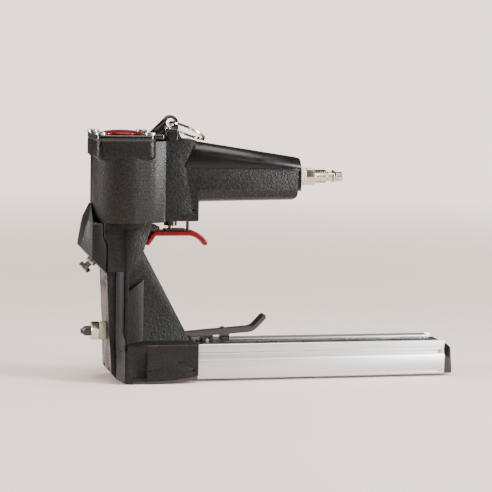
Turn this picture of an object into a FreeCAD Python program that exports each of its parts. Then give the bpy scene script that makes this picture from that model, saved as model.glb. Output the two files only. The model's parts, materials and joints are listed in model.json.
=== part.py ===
import FreeCAD, Part
import math
import os

V = FreeCAD.Vector

# Air-driven carton-closing stapler.
# Frame: origin on the driver axis at the level of the sole, +X towards the rear of the
# magazine, +Z up along the cylinder axis, Y across the tool. Sizes are in millimetres.

# ---- clearances ----
SLIDE_GAP = 0.3          # between parts that move past each other
RUN_GAP = 0.06           # radial gap of a pin in its hole
JOINT_FIT = 0.04         # radial gap of a guided stem or piston
SEAT_GAP = 0.1           # between a loose filling part and its pocket
CHANNEL_GAP = 0.15       # round the driver blade

# ---- cylinder head ----
BARREL_X = 2.3           # centre of the front arc of its egg-shaped section
BARREL_R = 28.3
BARREL_FLANK = 75.0      # degrees from +X where the arc turns into the flank
FLANK_BULGE = 0.8
BARREL_BOTTOM = 137.5
HEAD_LENGTH = 51.0       # along X
HEAD_WIDTH = 57.0        # along Y
HEAD_CORNER_R = 6.0
HEAD_DEPTH = 15.5
HEAD_TOP = 206.6
HEAD_SKIRT = 2.8         # chamfer under the head flange
CAP_T = 4.6
GASKET_T = 0.8
CAP_SCREW_PITCH = 42.0   # square screw pattern
CAP_SCREW_R = 3.0
CAP_SCREW_HEAD_R = 4.9
CAP_SCREW_HEAD_H = 2.4
CAP_SCREW_LENGTH = 19.5
CAP_TONGUE_W = 26.0
CAP_TONGUE_L = 10.5
DISC_R = 17.0
DISC_H = 3.2
DISC_STUD_R = 4.0

# ---- bore, piston and head valve ----
SLEEVE_INNER_R = 20.0
SLEEVE_WALL = 1.8
SLEEVE_BOTTOM = 143.0
SLEEVE_TOP = 193.0
BUMPER_H = 9.0
BUMPER_HOLE_LENGTH = 38.2
BUMPER_HOLE_T = 5.0
PISTON_H = 13.0
PISTON_RING_H = 3.0
PISTON_RING_DEPTH = 2.5
STROKE = 23.0            # of the piston, driver tip level with the sole at the end
HEAD_VALVE_H = 6.0
HEAD_VALVE_R = 22.5
HEAD_SPRING_R = 11.0
HEAD_SPRING_WIRE = 1.2
HEAD_SPRING_TURNS = 3

# ---- driver and staples ----
DRIVER_W = 35.0
DRIVER_T = 1.6
DRIVER_REST = 24.0       # height of its lower edge at rest
DRIVER_HEAD_W = 12.0
CROWN_W = 34.6
STAPLE_LEG = 17.0
STAPLE_WIRE_T = 1.0
STAPLE_TOP = 22.6
STAPLE_COUNT_LENGTH = 108.0

# ---- handle block and handle ----
WEB_HALF_W = 16.9        # of the cylinder where it meets the handle block
BLOCK_FRONT = 35.4
BLOCK_REAR = 65.0
BLOCK_HALF_W = 17.3
BLOCK_BOTTOM = 138.3
BLOCK_EDGE_R = 0.8
BLOCK_UNDER_R = 1.5
BOSS_FRONT = 36.5
BOSS_REAR = 48.6
BOSS_HALF_W = 9.5
BOSS_TOP = 214.4
ROOT_TOP = 207.4
ROOT_FILLET = 5.0
HANDLE_END = 152.2
HANDLE_BOTTOM = 156.0    # at the rear end
HANDLE_SLANT = 1.6       # its underside is this much lower at the block
HANDLE_ROOT_TOP = 206.4
HANDLE_END_TOP = 192.2
HANDLE_BOTTOM_R = 11.0
HANDLE_TOP_R = 11.5
GRIP_FRONT_TOP = 61.5
GRIP_FRONT_BOTTOM = 50.4
GRIP_SEAM = 183.8
GRIP_WALL = 3.6
COLLAR_T = 2.8
COLLAR_BOTTOM = 164.4
HEEL_R = 5.0
AIRWAY_R = 10.5
AIRWAY_Z = 175.7

# ---- air inlet ----
BUSH_R = 8.6
BUSH_FLANGE_L = 2.2
BUSH_THREAD_R = 8.0
BUSH_DEPTH = 14.0
SEAL_L = 5.1
SEAL_R = 8.0
PLUG_HEX_AF = 14.3
PLUG_HEX_L = 7.9
PLUG_BODY_R = 5.95
PLUG_BODY_L = 10.5
PLUG_NECK_R = 3.9
PLUG_NECK_L = 4.4
PLUG_RIDGE_R = 5.9
PLUG_NOSE_R = 3.95
PLUG_NOSE_L = 6.0
PLUG_BORE_R = 2.6
PLUG_THREAD_R = 6.2
PLUG_THREAD_L = 13.0

# ---- trigger and trigger valve ----
TRIGGER_TOP = 129.3
TRIGGER_T = 4.6
TRIGGER_HALF_W = 7.5
TRIGGER_PIVOT_X = 30.0
TRIGGER_PIVOT_Z = 131.4
TRIGGER_PIN_R = 1.25
TRIGGER_HUB_R = 2.7
TRIGGER_ANGLE = 7.0
VALVE_X = 43.7
VALVE_BODY_R = 7.0
VALVE_COLLAR_R = 5.6
VALVE_COLLAR_BOTTOM = 133.4
VALVE_TOP = 158.0
VALVE_STEM_R = 2.0
VALVE_SEAL_H = 1.8
GUIDE_X = 58.8
GUIDE_PIN_R = 1.35
GUIDE_PIN_TOP = 142.0
PLATE_T = 1.2

# ---- nose ----
ARM_TOP = BARREL_BOTTOM
ARM_FLANGE_T = 6.0
ARM_HALF_W = 24.0
ARM_BACK_X = 3.0
GUIDE_HALF_W = 22.3
FRONT_HALF_W = 20.3
FRONT_TOP_X = -14.5
FRONT_FOOT_X = -9.9
FRONT_PLATE_TOP = 96.0
NOSE_CHAMFER_Z = 9.0
GUSSET_HALF_W = 8.0
GUSSET_NECK_X = 17.3
GUSSET_NECK_Z = 115.6
GUSSET_FOOT_X = 61.5
SHOE_FRONT = 19.8
SHOE_REAR = 64.5
SHOE_HALF_W = 30.0
SHOE_TOP = 34.0
SHOE_BOTTOM = 3.2
SHOE_STEP = 1.0          # the sides stand in by this below the step
SHOE_STEP_Z = 10.0
SHOE_RECESS = 5.0        # depth of the dark recess in each side
SOLE_CURVE_X = 34.0      # where the sole begins to rise
SOLE_CURVE_L = 10.0
SOLE_CURVE_H = 1.0
SOLE_T = 3.0
SOLE_RISE = 3.4

# ---- magazine ----
MAG_END = 288.8
MAG_HALF_W = 22.0
MAG_TOP = 32.2
MAG_BOTTOM = 2.0
MAG_WALL = 2.6
MAG_FLOOR = 2.0
MAG_BEVEL_Z = 18.0       # top of the wide lower half of the side
MAG_STEP = 1.2           # the upper half stands in by this
GROOVE_Z = 24.8
GROOVE_HALF_H = 0.6
GROOVE_DEPTH = 0.8
MAG_FRONT = 22.0
COVER_END = 283.0
FAR_LIP = 14.0            # the wide lip over the channel
NEAR_LIP = 4.0
SLIT = 1.2
END_CAP_T = 7.4
END_CAP_TOP = 28.4
CORE_HALF_W = CROWN_W / 2 - STAPLE_WIRE_T - 0.3
CORE_END = 278.0
PUSHER_L = 26.0
ROLL_R = 3.1

# ---- guard over the arm ----
GUARD_T = 2.5
GUARD_HALF_W = 21.0
GUARD_TOP = (-26.5, 152.6)   # (x, z) points of its front
GUARD_BROW = (-32.1, 133.8)
GUARD_NOSE = (-35.7, 116.7)
GUARD_FOOT = (-15.1, 94.8)
GUARD_PEAK_HALF_W = 5.0      # its top narrows to this, seen from the front
GUARD_SHOULDER_Z = 136.5
GUARD_BOLT_R = 2.5
GUARD_BOLT_SHARE = 0.585     # place of the bolt from the nose to the foot

# ---- screws of the front plate ----
PLATE_SCREW_R = 2.0
PLATE_SCREW_END = -2.0
PLATE_SCREW_Y = 14.0

# ---- clinchers ----
CLINCH_T = 3.8
CLINCH_BACK_X = -2.2         # rear face of the clincher arms
CLINCH_PIVOT_Y = 12.0
CLINCH_PIVOT_Z = 10.5
CLINCH_PIN_R = 2.4
CLINCH_HUB_R = 4.4
CLINCH_TIP = (24.0, 3.4)     # (y, z) of its point at rest

# ---- depth adjuster ----
ADJUST_Z = 42.6
ADJUST_ROD_R = 4.2
ADJUST_NUT_AF = 14.8
ADJUST_NUT_T = 7.0
ADJUST_COLLAR_R = 8.0
ADJUST_COLLAR_T = 5.6
ADJUST_TIP_X = -33.3

# ---- latch lever ----
LATCH_PIVOT_X = 52.5
LATCH_PIVOT_Z = 38.6
LATCH_PIN_R = 1.9
LATCH_HALF_W = 5.0
LATCH_STRIP_T = 4.8
LATCH_ROLLER_X = 77.0
LATCH_ROLLER_Z = 33.4
LATCH_ROLLER_R = 4.6
ROLLER_HALF_W = 3.0

# ---- small fasteners ----
PIN_R = 1.5
PIN_X = 60.3
PIN_Z = 147.9
PIN_RECESS = 2.4         # of the shoe pins below the shoe's sides
BRACKET_SCREW_R = 1.5
BOSS_SCREW_X = 39.4
BRACKET_SCREW_Y = 5.8
ARM_SCREW_R = 2.5
ARM_SCREW_X = 13.0
ARM_SCREW_Y = 14.0

# ---- hanger ----
RING_R = 16.2            # to the middle of the wire
RING_BAND = 3.2
RING_WIRE_T = 1.5
EYE_X = 42.1
EYE_Z = 221.6
EYE_R = 3.9
HANGER_T = 4.0
RING_SLOPE = 25.0
RING_ROLL = -10.0


def box(x0, x1, y0, y1, z0, z1):
    return Part.makeBox(x1 - x0, y1 - y0, z1 - z0, V(x0, y0, z0))


def rod_x(r, x0, x1, y, z):
    return Part.makeCylinder(r, x1 - x0, V(x0, y, z), V(1, 0, 0))


def rod_y(r, x, y0, y1, z):
    return Part.makeCylinder(r, y1 - y0, V(x, y0, z), V(0, 1, 0))


def rod_z(r, x, y, z0, z1):
    return Part.makeCylinder(r, z1 - z0, V(x, y, z0), V(0, 0, 1))


def side_plate(points, y0, y1):
    """A plate with the given (x, z) outline, from y0 to y1."""
    loop = [V(x, y0, z) for x, z in points]
    return Part.Face(Part.makePolygon(loop + loop[:1])).extrude(V(0, y1 - y0, 0))


def end_plate(points, x0, x1):
    """A plate with the given (y, z) outline, from x0 to x1."""
    loop = [V(x0, y, z) for y, z in points]
    return Part.Face(Part.makePolygon(loop + loop[:1])).extrude(V(x1 - x0, 0, 0))


def flat_plate(points, z0, z1):
    """A plate with the given (x, y) outline, from z0 to z1."""
    loop = [V(x, y, z0) for x, y in points]
    return Part.Face(Part.makePolygon(loop + loop[:1])).extrude(V(0, 0, z1 - z0))


def turned_x(points, y, z):
    """A solid turned about a line along X from (x, radius) points."""
    loop = [V(x, y, z + r) for x, r in points]
    loop = [V(points[0][0], y, z)] + loop + [V(points[-1][0], y, z)]
    face = Part.Face(Part.makePolygon(loop + loop[:1]))
    return face.revolve(V(0, y, z), V(1, 0, 0), 360)


def turned_z(points, x, y):
    """A solid turned about a line along Z from (radius, z) points."""
    loop = [V(x + r, y, z) for r, z in points]
    loop = [V(x, y, points[0][1])] + loop + [V(x, y, points[-1][1])]
    face = Part.Face(Part.makePolygon(loop + loop[:1]))
    return face.revolve(V(x, y, 0), V(0, 0, 1), 360)


def hex_prism(across_flats, base, direction, length, turn=0.0):
    r = across_flats / math.sqrt(3)
    loop = []
    for i in range(7):
        a = math.radians(60 * i + turn)
        loop.append(V(r * math.cos(a), r * math.sin(a), 0))
    solid = Part.Face(Part.makePolygon(loop)).extrude(V(0, 0, length))
    solid.Placement = FreeCAD.Placement(base, FreeCAD.Rotation(V(0, 0, 1), direction))
    return solid


def is_along(edge, axis):
    if edge.Curve.TypeId != "Part::GeomLine":
        return False
    return abs(abs(edge.tangentAt(edge.FirstParameter).dot(axis)) - 1) < 1e-6


def edges_near(solid, axis, test):
    """Straight edges along an axis whose middle passes the test."""
    found = []
    for edge in solid.Edges:
        if is_along(edge, axis) and test(edge.CenterOfMass):
            found.append(edge)
    return found


def round_edges(solid, axis, radius, test):
    edges = edges_near(solid, axis, test)
    if not edges:
        raise ValueError("no edge to round")
    return solid.makeFillet(radius, edges)


def upright_block(length, width, corner_r, z0, z1):
    block = box(-length / 2, length / 2, -width / 2, width / 2, z0, z1)
    return round_edges(block, V(0, 0, 1), corner_r, lambda c: True)


def cap_screw_places():
    h = CAP_SCREW_PITCH / 2
    return [(-h, -h), (-h, h), (h, -h), (h, h)]


def drill(solid, holes):
    for hole in holes:
        solid = solid.cut(hole)
    return solid


def joined(solids):
    whole = solids[0]
    for solid in solids[1:]:
        whole = whole.fuse(solid)
    return whole.removeSplitter()


# ---- handle and body casting ----
BARREL_DECK = HEAD_TOP + GASKET_T          # underside of the cap
CAP_TOP = BARREL_DECK + CAP_T
BUSH_FACE = HANDLE_END + COLLAR_T          # rear face of the handle collar
BARREL_FRONT = BARREL_X - BARREL_R


def handle_underside(x):
    return HANDLE_BOTTOM - HANDLE_SLANT * (BUSH_FACE - x) / (BUSH_FACE - BLOCK_REAR)


def handle_outside():
    front = BLOCK_FRONT + 4
    slope = (HANDLE_ROOT_TOP - HANDLE_END_TOP) / (BUSH_FACE - GRIP_FRONT_TOP)
    outline = [(front, handle_underside(front)), (BUSH_FACE, HANDLE_BOTTOM),
               (BUSH_FACE, HANDLE_END_TOP), (front, HANDLE_END_TOP + slope * (BUSH_FACE - front))]
    solid = side_plate(outline, -BLOCK_HALF_W, BLOCK_HALF_W)
    lower = [e for e in solid.Edges if abs(abs(e.CenterOfMass.y) - BLOCK_HALF_W) < 1e-6
             and e.CenterOfMass.z < HANDLE_BOTTOM and not is_along(e, V(0, 0, 1))]
    solid = solid.makeFillet(HANDLE_BOTTOM_R, lower)
    upper = [e for e in solid.Edges if abs(abs(e.CenterOfMass.y) - BLOCK_HALF_W) < 1e-6
             and e.CenterOfMass.z > HANDLE_END_TOP and not is_along(e, V(0, 0, 1))]
    return solid.makeFillet(HANDLE_TOP_R, upper)


def grip_zone(inset=0.0):
    """Side outline of the soft grip on top of the handle, as a wide plate."""
    lean = (GRIP_FRONT_TOP - GRIP_FRONT_BOTTOM) / (HANDLE_ROOT_TOP - GRIP_SEAM)
    rise = 30.0
    outline = [(GRIP_FRONT_BOTTOM + inset, GRIP_SEAM + inset),
               (BUSH_FACE + 5, GRIP_SEAM + inset),
               (BUSH_FACE + 5, GRIP_SEAM + rise),
               (GRIP_FRONT_BOTTOM + inset + lean * rise, GRIP_SEAM + rise)]
    zone = side_plate(outline, -BLOCK_HALF_W - 2, BLOCK_HALF_W + 2)
    return round_edges(zone, V(0, 1, 0), 2.2,
                       lambda c: c.x < GRIP_FRONT_BOTTOM + inset + 1)


def grip_core(gap=0.0):
    """The casting's spine under the grip."""
    slope_run = BUSH_FACE - GRIP_FRONT_TOP
    slope = (HANDLE_ROOT_TOP - HANDLE_END_TOP) / slope_run
    w = BLOCK_HALF_W - GRIP_WALL + gap
    top = HANDLE_ROOT_TOP - GRIP_WALL + gap
    x0 = GRIP_FRONT_BOTTOM - 5
    end = HANDLE_END + gap
    outline = [(x0, GRIP_SEAM - 10), (end, GRIP_SEAM - 10),
               (end, top - slope * (end - GRIP_FRONT_TOP)),
               (x0, top + slope * (GRIP_FRONT_TOP - x0))]
    core = side_plate(outline, -w, w)
    upper = [e for e in core.Edges if abs(abs(e.CenterOfMass.y) - w) < 1e-6
             and not is_along(e, V(0, 0, 1)) and e.CenterOfMass.z > GRIP_SEAM + 1]
    return core.makeFillet(HANDLE_TOP_R - GRIP_WALL, upper)


def handle_grip():
    return handle_outside().common(grip_zone(SEAT_GAP / 2)).cut(grip_core(SEAT_GAP / 2))


def handle_end_collar():
    plate = handle_outside().common(box(HANDLE_END, BUSH_FACE, -50, 50, COLLAR_BOTTOM,
                                        GRIP_SEAM - SEAT_GAP / 2))
    return plate.cut(rod_x(BUSH_THREAD_R + SEAT_GAP, HANDLE_END - 5, BUSH_FACE + 5, 0,
                           AIRWAY_Z))


def valve_bore():
    return rod_z(VALVE_BODY_R, VALVE_X, 0, BLOCK_BOTTOM - 1, VALVE_TOP)


def guide_bore():
    """Slot for the pin that swings with the trigger."""
    swing = (GUIDE_PIN_TOP - TRIGGER_PIVOT_Z) * math.sin(math.radians(TRIGGER_ANGLE)) + 0.7
    y = GUIDE_PIN_R + 0.4
    return box(GUIDE_X - y - swing, GUIDE_X + y, -y, y, BLOCK_BOTTOM - 1, GUIDE_PIN_TOP + 4.1)


def barrel_shell():
    """Outside of the cylinder, narrowing from its front arc to the handle block."""
    angle = math.radians(BARREL_FLANK)
    start = V(BARREL_X + BARREL_R * math.cos(angle), BARREL_R * math.sin(angle), BARREL_BOTTOM)
    end = V(BLOCK_FRONT + 1, WEB_HALF_W, BARREL_BOTTOM)
    chord = end - start
    bulge = V(-chord.y, chord.x, 0).normalize() * FLANK_BULGE
    middle = start + chord * 0.5 + bulge
    mirrored = [V(p.x, -p.y, p.z) for p in (start, middle, end)]
    outline = [Part.Arc(mirrored[0], V(BARREL_FRONT, 0, BARREL_BOTTOM), start).toShape(),
               Part.Arc(start, middle, end).toShape(),
               Part.LineSegment(end, mirrored[2]).toShape(),
               Part.Arc(mirrored[2], mirrored[1], mirrored[0]).toShape()]
    return Part.Face(Part.Wire(outline)).extrude(V(0, 0, HEAD_TOP - BARREL_BOTTOM))


def body_casting():
    shell = barrel_shell()
    head_bottom = HEAD_TOP - HEAD_DEPTH
    head = upright_block(HEAD_LENGTH, HEAD_WIDTH, HEAD_CORNER_R, head_bottom, HEAD_TOP)
    skirt = [e for e in head.Edges if abs(e.CenterOfMass.z - head_bottom) < 1e-6]
    head = head.makeChamfer(HEAD_SKIRT, skirt)
    block = box(BLOCK_FRONT, BLOCK_REAR, -BLOCK_HALF_W, BLOCK_HALF_W, BLOCK_BOTTOM, ROOT_TOP)
    block = round_edges(block, V(0, 0, 1), BLOCK_EDGE_R, lambda c: True)
    block = block.makeFillet(BLOCK_UNDER_R, [e for e in block.Edges
                                   if abs(e.CenterOfMass.z - BLOCK_BOTTOM) < 1e-6])
    boss = box(BOSS_FRONT, BOSS_REAR, -BOSS_HALF_W, BOSS_HALF_W, HEAD_TOP - 10, BOSS_TOP)
    boss = round_edges(boss, V(0, 0, 1), 3.0, lambda c: True)
    slope = side_plate([(BOSS_REAR - 2, ROOT_TOP - 3), (BOSS_REAR + 6, ROOT_TOP - 3),
                        (BOSS_REAR + 6, ROOT_TOP - 0.3), (BOSS_REAR + 3, ROOT_TOP + 0.8),
                        (BOSS_REAR + 1.2, ROOT_TOP + 3), (BOSS_REAR, BOSS_TOP - 1),
                        (BOSS_REAR - 2, BOSS_TOP - 1)], -BOSS_HALF_W + 1, BOSS_HALF_W - 1)
    inner_w = BLOCK_HALF_W - HANDLE_BOTTOM_R
    corner_z = handle_underside(BLOCK_REAR + ROOT_FILLET)
    inner_corner = box(BLOCK_REAR - 2, BLOCK_REAR + ROOT_FILLET, -inner_w, inner_w,
                       corner_z - ROOT_FILLET, corner_z + 3)
    inner_corner = inner_corner.cut(rod_y(ROOT_FILLET, BLOCK_REAR + ROOT_FILLET,
                                          -BLOCK_HALF_W, BLOCK_HALF_W,
                                          corner_z - ROOT_FILLET))
    handle = handle_outside().common(box(BLOCK_FRONT, HANDLE_END, -50, 50, 100, ROOT_TOP))
    grip_space = grip_zone().cut(grip_core())
    heel_z = handle_underside(HANDLE_END - HEEL_R)
    heel = box(HANDLE_END - HEEL_R, HANDLE_END + 1, -50, 50, heel_z - 1, heel_z + HEEL_R)
    heel = heel.cut(rod_y(HEEL_R, HANDLE_END - HEEL_R, -50, 50, heel_z + HEEL_R))
    handle = handle.cut(grip_space).cut(heel)
    solid = joined([shell, head, block.cut(grip_space), boss, slope, inner_corner, handle])
    return drill(solid, [
        rod_z(SLEEVE_INNER_R + SLEEVE_WALL, 0, 0, SLEEVE_BOTTOM - 1, SLEEVE_TOP + 1),
        rod_z(HEAD_VALVE_R + JOINT_FIT, 0, 0, SLEEVE_TOP, HEAD_TOP + 1),
        box(-BUMPER_HOLE_T / 2, BUMPER_HOLE_T / 2, -BUMPER_HOLE_LENGTH / 2,
            BUMPER_HOLE_LENGTH / 2, BARREL_BOTTOM - 1, SLEEVE_BOTTOM),
        rod_x(AIRWAY_R - 3, SLEEVE_INNER_R + 1, BLOCK_REAR, 0, SLEEVE_TOP + 2),
        box(BLOCK_FRONT, BLOCK_REAR - 6, -AIRWAY_R + 3, AIRWAY_R - 3, AIRWAY_Z, SLEEVE_TOP),
        rod_x(AIRWAY_R, BLOCK_FRONT + 4, HANDLE_END - BUSH_DEPTH + COLLAR_T, 0, AIRWAY_Z - 3),
        rod_x(BUSH_THREAD_R, HANDLE_END - 40, HANDLE_END + 5, 0, AIRWAY_Z),
        valve_bore(), rod_z(3.0, VALVE_X, 0, VALVE_TOP - 1, AIRWAY_Z), guide_bore(),
        rod_y(PIN_R, PIN_X, -50, 50, PIN_Z),
        rod_z(BRACKET_SCREW_R, BOSS_SCREW_X, -BRACKET_SCREW_Y, BOSS_TOP - 8, BOSS_TOP + 1),
        rod_z(BRACKET_SCREW_R, BOSS_SCREW_X, BRACKET_SCREW_Y, BOSS_TOP - 8, BOSS_TOP + 1)]
        + [rod_z(CAP_SCREW_R, x, y, CAP_TOP - CAP_SCREW_LENGTH, HEAD_TOP + 1)
           for x, y in cap_screw_places()]
        + [rod_z(ARM_SCREW_R, x, y, BARREL_BOTTOM - 1, BARREL_BOTTOM + 4.5)
           for x, y in arm_screw_places()])


def arm_screw_places():
    return [(x, y) for x in (-ARM_SCREW_X, ARM_SCREW_X) for y in (-ARM_SCREW_Y, ARM_SCREW_Y)]


# ---- cylinder head pieces ----
def cylinder_cap():
    z0 = BARREL_DECK
    cap = upright_block(HEAD_LENGTH, HEAD_WIDTH, HEAD_CORNER_R, z0, CAP_TOP)
    tongue = box(HEAD_LENGTH / 2 - 8, HEAD_LENGTH / 2 + CAP_TONGUE_L, -CAP_TONGUE_W / 2,
                 CAP_TONGUE_W / 2, z0, CAP_TOP)
    tongue = round_edges(tongue, V(0, 0, 1), 3.0, lambda c: c.x > HEAD_LENGTH / 2)
    cap = cap.fuse(tongue).removeSplitter()
    rim = [e for e in cap.Edges if abs(e.CenterOfMass.z - CAP_TOP) < 1e-6]
    cap = cap.makeFillet(0.9, rim)
    holes = [rod_z(CAP_SCREW_R + 0.2, x, y, z0 - 1, CAP_TOP + 1)
             for x, y in cap_screw_places()]
    return drill(cap, holes + [rod_z(DISC_STUD_R, 0, 0, z0 - 1, CAP_TOP + 1)])


def cap_gasket():
    sheet = upright_block(HEAD_LENGTH - 1, HEAD_WIDTH - 1, HEAD_CORNER_R, HEAD_TOP,
                          BARREL_DECK)
    holes = [rod_z(CAP_SCREW_R + 0.2, x, y, HEAD_TOP - 1, BARREL_DECK + 1)
             for x, y in cap_screw_places()]
    return drill(sheet, holes + [rod_z(HEAD_VALVE_R, 0, 0, HEAD_TOP - 1, BARREL_DECK + 1)])


def cap_screws():
    solids = []
    for x, y in cap_screw_places():
        shank = rod_z(CAP_SCREW_R, x, y, CAP_TOP - CAP_SCREW_LENGTH, CAP_TOP)
        head = rod_z(CAP_SCREW_HEAD_R, x, y, CAP_TOP, CAP_TOP + CAP_SCREW_HEAD_H)
        head = head.makeFillet(0.7, [e for e in head.Edges
                                     if abs(e.CenterOfMass.z - head.BoundBox.ZMax) < 1e-6])
        key = hex_prism(4.0, V(x, y, CAP_TOP + 0.6), V(0, 0, 1), 5)
        solids.append(shank.fuse(head).removeSplitter().cut(key))
    return Part.makeCompound(solids)


def exhaust_disc():
    ball = (DISC_R ** 2 + DISC_H ** 2) / (2 * DISC_H)
    dome = Part.makeSphere(ball, V(0, 0, CAP_TOP + DISC_H - ball))
    rim = rod_z(DISC_R - 0.4, 0, 0, CAP_TOP, CAP_TOP + DISC_H + 1)
    stud = rod_z(DISC_STUD_R, 0, 0, BARREL_DECK, CAP_TOP + 0.5)
    return dome.common(rim).fuse(stud).removeSplitter()


def hang_bracket():
    foot = box(BOSS_FRONT - 0.5, BOSS_REAR - 0.2, -BOSS_HALF_W + 0.5, BOSS_HALF_W - 0.5,
               BOSS_TOP, BOSS_TOP + 2.3)
    foot = round_edges(foot, V(0, 0, 1), 2.5, lambda c: True)
    top = EYE_Z + EYE_R + 2.6
    sail = side_plate([(HEAD_LENGTH / 2 - 1, CAP_TOP + 0.05), (BOSS_FRONT - 0.5, CAP_TOP + 0.05),
                       (BOSS_FRONT - 0.5, BOSS_TOP), (EYE_X + 6.8, BOSS_TOP),
                       (EYE_X + 6.8, EYE_Z), (EYE_X - 4.2, EYE_Z + 5.0),
                       (HEAD_LENGTH / 2 - 1, CAP_TOP + 1.4)], -HANGER_T / 2, HANGER_T / 2)
    eye = rod_y(top - EYE_Z, EYE_X, -HANGER_T / 2, HANGER_T / 2, EYE_Z)
    rim = side_plate([(HEAD_LENGTH / 2 - 1, CAP_TOP + 1.4), (EYE_X, EYE_Z),
                      (EYE_X - 4.4, EYE_Z + 4.7)], -HANGER_T / 2, HANGER_T / 2)
    plate = joined([foot, sail, eye, rim])
    holes = [rod_y(EYE_R, EYE_X, -9, 9, EYE_Z)]
    for y in (-BRACKET_SCREW_Y, BRACKET_SCREW_Y):
        holes.append(rod_z(BRACKET_SCREW_R + 0.1, BOSS_SCREW_X, y, BOSS_TOP - 1, BOSS_TOP + 5))
    return drill(plate, holes)


def bracket_screws():
    solids = []
    for y in (-BRACKET_SCREW_Y, BRACKET_SCREW_Y):
        shank = rod_z(BRACKET_SCREW_R, BOSS_SCREW_X, y, BOSS_TOP - 8, BOSS_TOP + 2.3)
        head = rod_z(2.3, BOSS_SCREW_X, y, BOSS_TOP + 2.3, BOSS_TOP + 3.4)
        solids.append(shank.fuse(head).removeSplitter())
    return Part.makeCompound(solids)


def hang_ring():
    """Two-turn flat-wire ring through the eye, lying back on the handle."""
    half = RING_BAND / 2
    inner = RING_R - RING_WIRE_T / 2
    outer = RING_R + RING_WIRE_T / 2
    band = Part.makeCylinder(outer, RING_BAND, V(0, 0, -half))
    band = band.cut(Part.makeCylinder(inner, RING_BAND + 2, V(0, 0, -half - 1)))
    for radius in (outer, inner):
        line = Part.makeTorus(radius, 0.22, V(0, 0, 0))
        band = band.cut(line)
    band = band.makeFillet(0.35, [e for e in band.Edges
                                  if abs(abs(e.CenterOfMass.z) - half) < 1e-6])
    roll = FreeCAD.Rotation(V(1, 0, 0), RING_ROLL)
    slope = FreeCAD.Rotation(V(0, 1, 0), RING_SLOPE)
    turn = slope.multiply(roll)
    arm = turn.multVec(V(RING_R, 0, 0))
    band.Placement = FreeCAD.Placement(V(EYE_X, 0, EYE_Z) + arm, turn)
    return band


# ---- inside the cylinder ----
def cylinder_sleeve():
    tube = rod_z(SLEEVE_INNER_R + SLEEVE_WALL, 0, 0, SLEEVE_BOTTOM, SLEEVE_TOP)
    return tube.cut(rod_z(SLEEVE_INNER_R, 0, 0, SLEEVE_BOTTOM - 1, SLEEVE_TOP + 1))


def bumper():
    pad = rod_z(SLEEVE_INNER_R - 0.4, 0, 0, SLEEVE_BOTTOM, SLEEVE_BOTTOM + BUMPER_H)
    return pad.cut(box(-BUMPER_HOLE_T / 2, BUMPER_HOLE_T / 2, -BUMPER_HOLE_LENGTH / 2,
                       BUMPER_HOLE_LENGTH / 2, SLEEVE_BOTTOM - 1, SLEEVE_BOTTOM + BUMPER_H + 1))


PISTON_BOTTOM = SLEEVE_BOTTOM + BUMPER_H + STROKE + SLIDE_GAP
PISTON_TOP = PISTON_BOTTOM + PISTON_H


def piston():
    body = rod_z(SLEEVE_INNER_R - 0.25, 0, 0, PISTON_BOTTOM, PISTON_TOP)
    middle = (PISTON_BOTTOM + PISTON_TOP) / 2
    groove = rod_z(SLEEVE_INNER_R + 1, 0, 0, middle - PISTON_RING_H / 2,
                   middle + PISTON_RING_H / 2)
    groove = groove.cut(rod_z(SLEEVE_INNER_R - PISTON_RING_DEPTH, 0, 0, PISTON_BOTTOM,
                              PISTON_TOP))
    slot = box(-DRIVER_T / 2, DRIVER_T / 2, -DRIVER_HEAD_W / 2, DRIVER_HEAD_W / 2,
               PISTON_BOTTOM - 1, PISTON_TOP - 4)
    return body.cut(groove).cut(slot)


def piston_ring():
    middle = (PISTON_BOTTOM + PISTON_TOP) / 2
    ring = rod_z(SLEEVE_INNER_R - JOINT_FIT, 0, 0, middle - PISTON_RING_H / 2,
                 middle + PISTON_RING_H / 2)
    return ring.cut(rod_z(SLEEVE_INNER_R - PISTON_RING_DEPTH, 0, 0, PISTON_BOTTOM, PISTON_TOP))


def driver_blade():
    blade = box(-DRIVER_T / 2, DRIVER_T / 2, -DRIVER_W / 2, DRIVER_W / 2, DRIVER_REST,
                PISTON_BOTTOM)
    head = box(-DRIVER_T / 2, DRIVER_T / 2, -DRIVER_HEAD_W / 2, DRIVER_HEAD_W / 2,
               PISTON_BOTTOM, PISTON_TOP - 4)
    return blade.fuse(head).removeSplitter()


HEAD_VALVE_BOTTOM = max(SLEEVE_TOP, PISTON_TOP) + 0.8


def head_valve():
    disc = rod_z(HEAD_VALVE_R, 0, 0, HEAD_VALVE_BOTTOM, HEAD_VALVE_BOTTOM + HEAD_VALVE_H)
    pocket = rod_z(HEAD_SPRING_R + 2, 0, 0, HEAD_VALVE_BOTTOM + 2.5,
                   HEAD_VALVE_BOTTOM + HEAD_VALVE_H + 1)
    pocket = pocket.cut(rod_z(HEAD_SPRING_R - 2.5, 0, 0, HEAD_VALVE_BOTTOM,
                              HEAD_VALVE_BOTTOM + HEAD_VALVE_H + 2))
    return disc.cut(pocket)


def coil_spring(radius, wire, turns, z0, z1):
    pitch = (z1 - z0 - 2 * wire) / turns
    path = Part.makeLongHelix(pitch, pitch * turns, radius)
    path.translate(V(0, 0, z0 + wire))
    ring = Part.Wire(Part.Circle(V(radius, 0, z0 + wire), V(0, 1, 0), wire).toShape())
    return Part.Wire(path).makePipeShell([ring], True, True)


def head_valve_spring():
    return coil_spring(HEAD_SPRING_R, HEAD_SPRING_WIRE / 2, HEAD_SPRING_TURNS,
                       HEAD_VALVE_BOTTOM + 2.6, BARREL_DECK - 0.1)


# ---- air inlet pieces ----
SEAL_X = BUSH_FACE + BUSH_FLANGE_L
PLUG_X = SEAL_X + SEAL_L


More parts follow.
